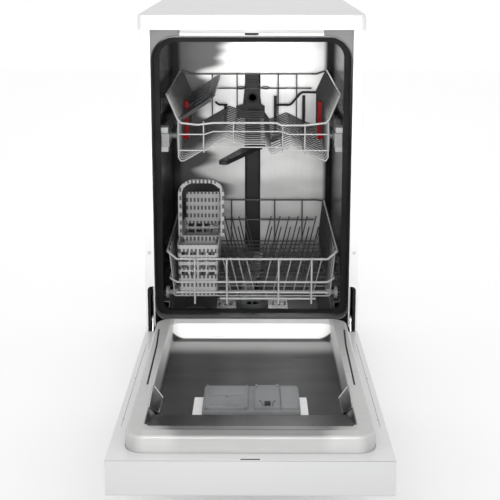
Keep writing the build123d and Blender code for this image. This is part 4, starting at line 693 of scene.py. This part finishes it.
rack_back = 486
cushion_places = ((57.0, 514, 617), (127.5, 512, 618), (-67.0, 540, 592))
cushions = []
for x, low, high in cushion_places:
    path = [at(x, rack_back + 1.5, z) for z in np.linspace(low, high, 9)]
    cushions.append(strip(path, across * 0.0036, toward * 0.0035))
piece("rear_cushions", cushions, dark_plastic, "upper_rack", "dark_plastic")

long_bar = [(57.9, 594.1), (94.6, 594.1), (121.3, 625.9), (158.0, 625.4)]
short_bar = [(-92.0, 602), (-84.0, 594.5), (-62.0, 594.0)]
bars = [tube([at(x, rack_back, z) for x, z in long_bar], 0.0028, 0.006),
        tube([at(x, rack_back, z) for x, z in short_bar], 0.0026, 0.004)]
piece("bent_bars", bars, dark_plastic, "upper_rack", "coated_wire")

eye_half, eye_height = 9, 636.5
upward = np.array([0, 0, 1.0])
eyes = []
for x in (-29.0, 33.0):
    centre = at(x, rack_back + 2, eye_height)
    loop = oval(centre, across * eye_half / 1000, upward * 0.0032, 20)
    path = np.vstack([loop, at(x + eye_half, rack_back + 2, eye_height)])
    eyes.append(tube(path, 0.0011, 0.0005, 8))
piece("wire_eyes", eyes, coated_wire, "upper_rack", "coated_wire")
print("dock, cushions and bars are on")

# %% [markdown]
# ## Camera, floor and light
# The picture was taken from the front and a little above, with the lens moved down so that the
# cabinet's sides stay nearly upright. The light is a wide pale room: a bright sky of one colour, a
# large soft box above the camera, a low one that reaches into the tub and one on each side. The
# floor is a plain pale sheet.

# %% Camera

photo_pixels = 500
focal_pixels = 1009.2
pitch_down, yaw = 11.546, 0.310

camera_data = bpy.data.cameras.new("front_camera")
camera_data.sensor_width = 36.0
camera_data.lens = focal_pixels / photo_pixels * camera_data.sensor_width
camera_data.shift_y = -0.20
camera = bpy.data.objects.new("front_camera", camera_data)
camera.location = at(7.4, -1991.9, 985.9)
camera.rotation_euler = (math.radians(90 - pitch_down), 0, math.radians(yaw))
bpy.context.scene.collection.objects.link(camera)
bpy.context.scene.camera = camera
bpy.context.scene.view_settings.view_transform = "Standard"
print("camera lens", round(camera_data.lens, 2), "mm")

# %% Floor and light


def floor_sheet():
    """A square sheet half a millimetre below the feet, with a paper-like cloud in its white."""
    half = 6.0
    line = np.linspace(-half, half, 41)
    x, y = np.meshgrid(line, line, indexing="ij")
    grid = np.stack([x, y, np.full_like(x, -0.0005)], -1)
    points, faces = skin(grid, wrap=False, caps=False)
    mesh = bpy.data.meshes.new("floor")
    mesh.from_pydata(points.tolist(), [], faces)
    made = bpy.data.objects.new("floor", mesh)
    bpy.context.scene.collection.objects.link(made)
    finish = Finish("floor_paper")
    cloud = finish.noise(0.6, 2.0)
    finish.set(Base_Color=finish.mix(cloud, grey(0.97), grey(0.99)), Roughness=0.9)
    made.data.materials.append(finish.material)


def soft_box(name, place, target, size, power, spread=180):
    """A large rectangular light aimed at a point, its beam held to the spread in degrees."""
    data = bpy.data.lights.new(name, "AREA")
    data.shape = "RECTANGLE"
    data.spread = math.radians(spread)
    data.size, data.size_y = size
    data.energy = power
    lamp = bpy.data.objects.new(name, data)
    lamp.location = place
    direction = np.array(target) - np.array(place)
    azimuth = math.atan2(direction[0], -direction[1])
    tilt = math.atan2(direction[2], math.hypot(direction[0], direction[1]))
    lamp.rotation_euler = (math.pi / 2 + tilt, 0, azimuth + math.pi)
    bpy.context.scene.collection.objects.link(lamp)


floor_sheet()
soft_box("above_camera", (0.0, -2.6, 2.6), (0, 0, 0.4), (2.4, 1.4), 6)
soft_box("into_the_tub", (0.0, -2.4, 0.95), (0, 0.5, 0.60), (0.8, 0.5), 2.3, 32)
soft_box("left_side", (-2.6, -1.6, 1.4), (0, -0.1, 0.4), (1.6, 2.0), 2)
soft_box("right_side", (2.6, -1.6, 1.4), (0, -0.1, 0.4), (1.6, 2.0), 2)
world = bpy.data.worlds.new("pale_room")
world.use_nodes = True
world.node_tree.nodes["Background"].inputs["Color"].default_value = grey(1.0)
world.node_tree.nodes["Background"].inputs["Strength"].default_value = 1.0
bpy.context.scene.world = world
print("four soft boxes and a pale room")
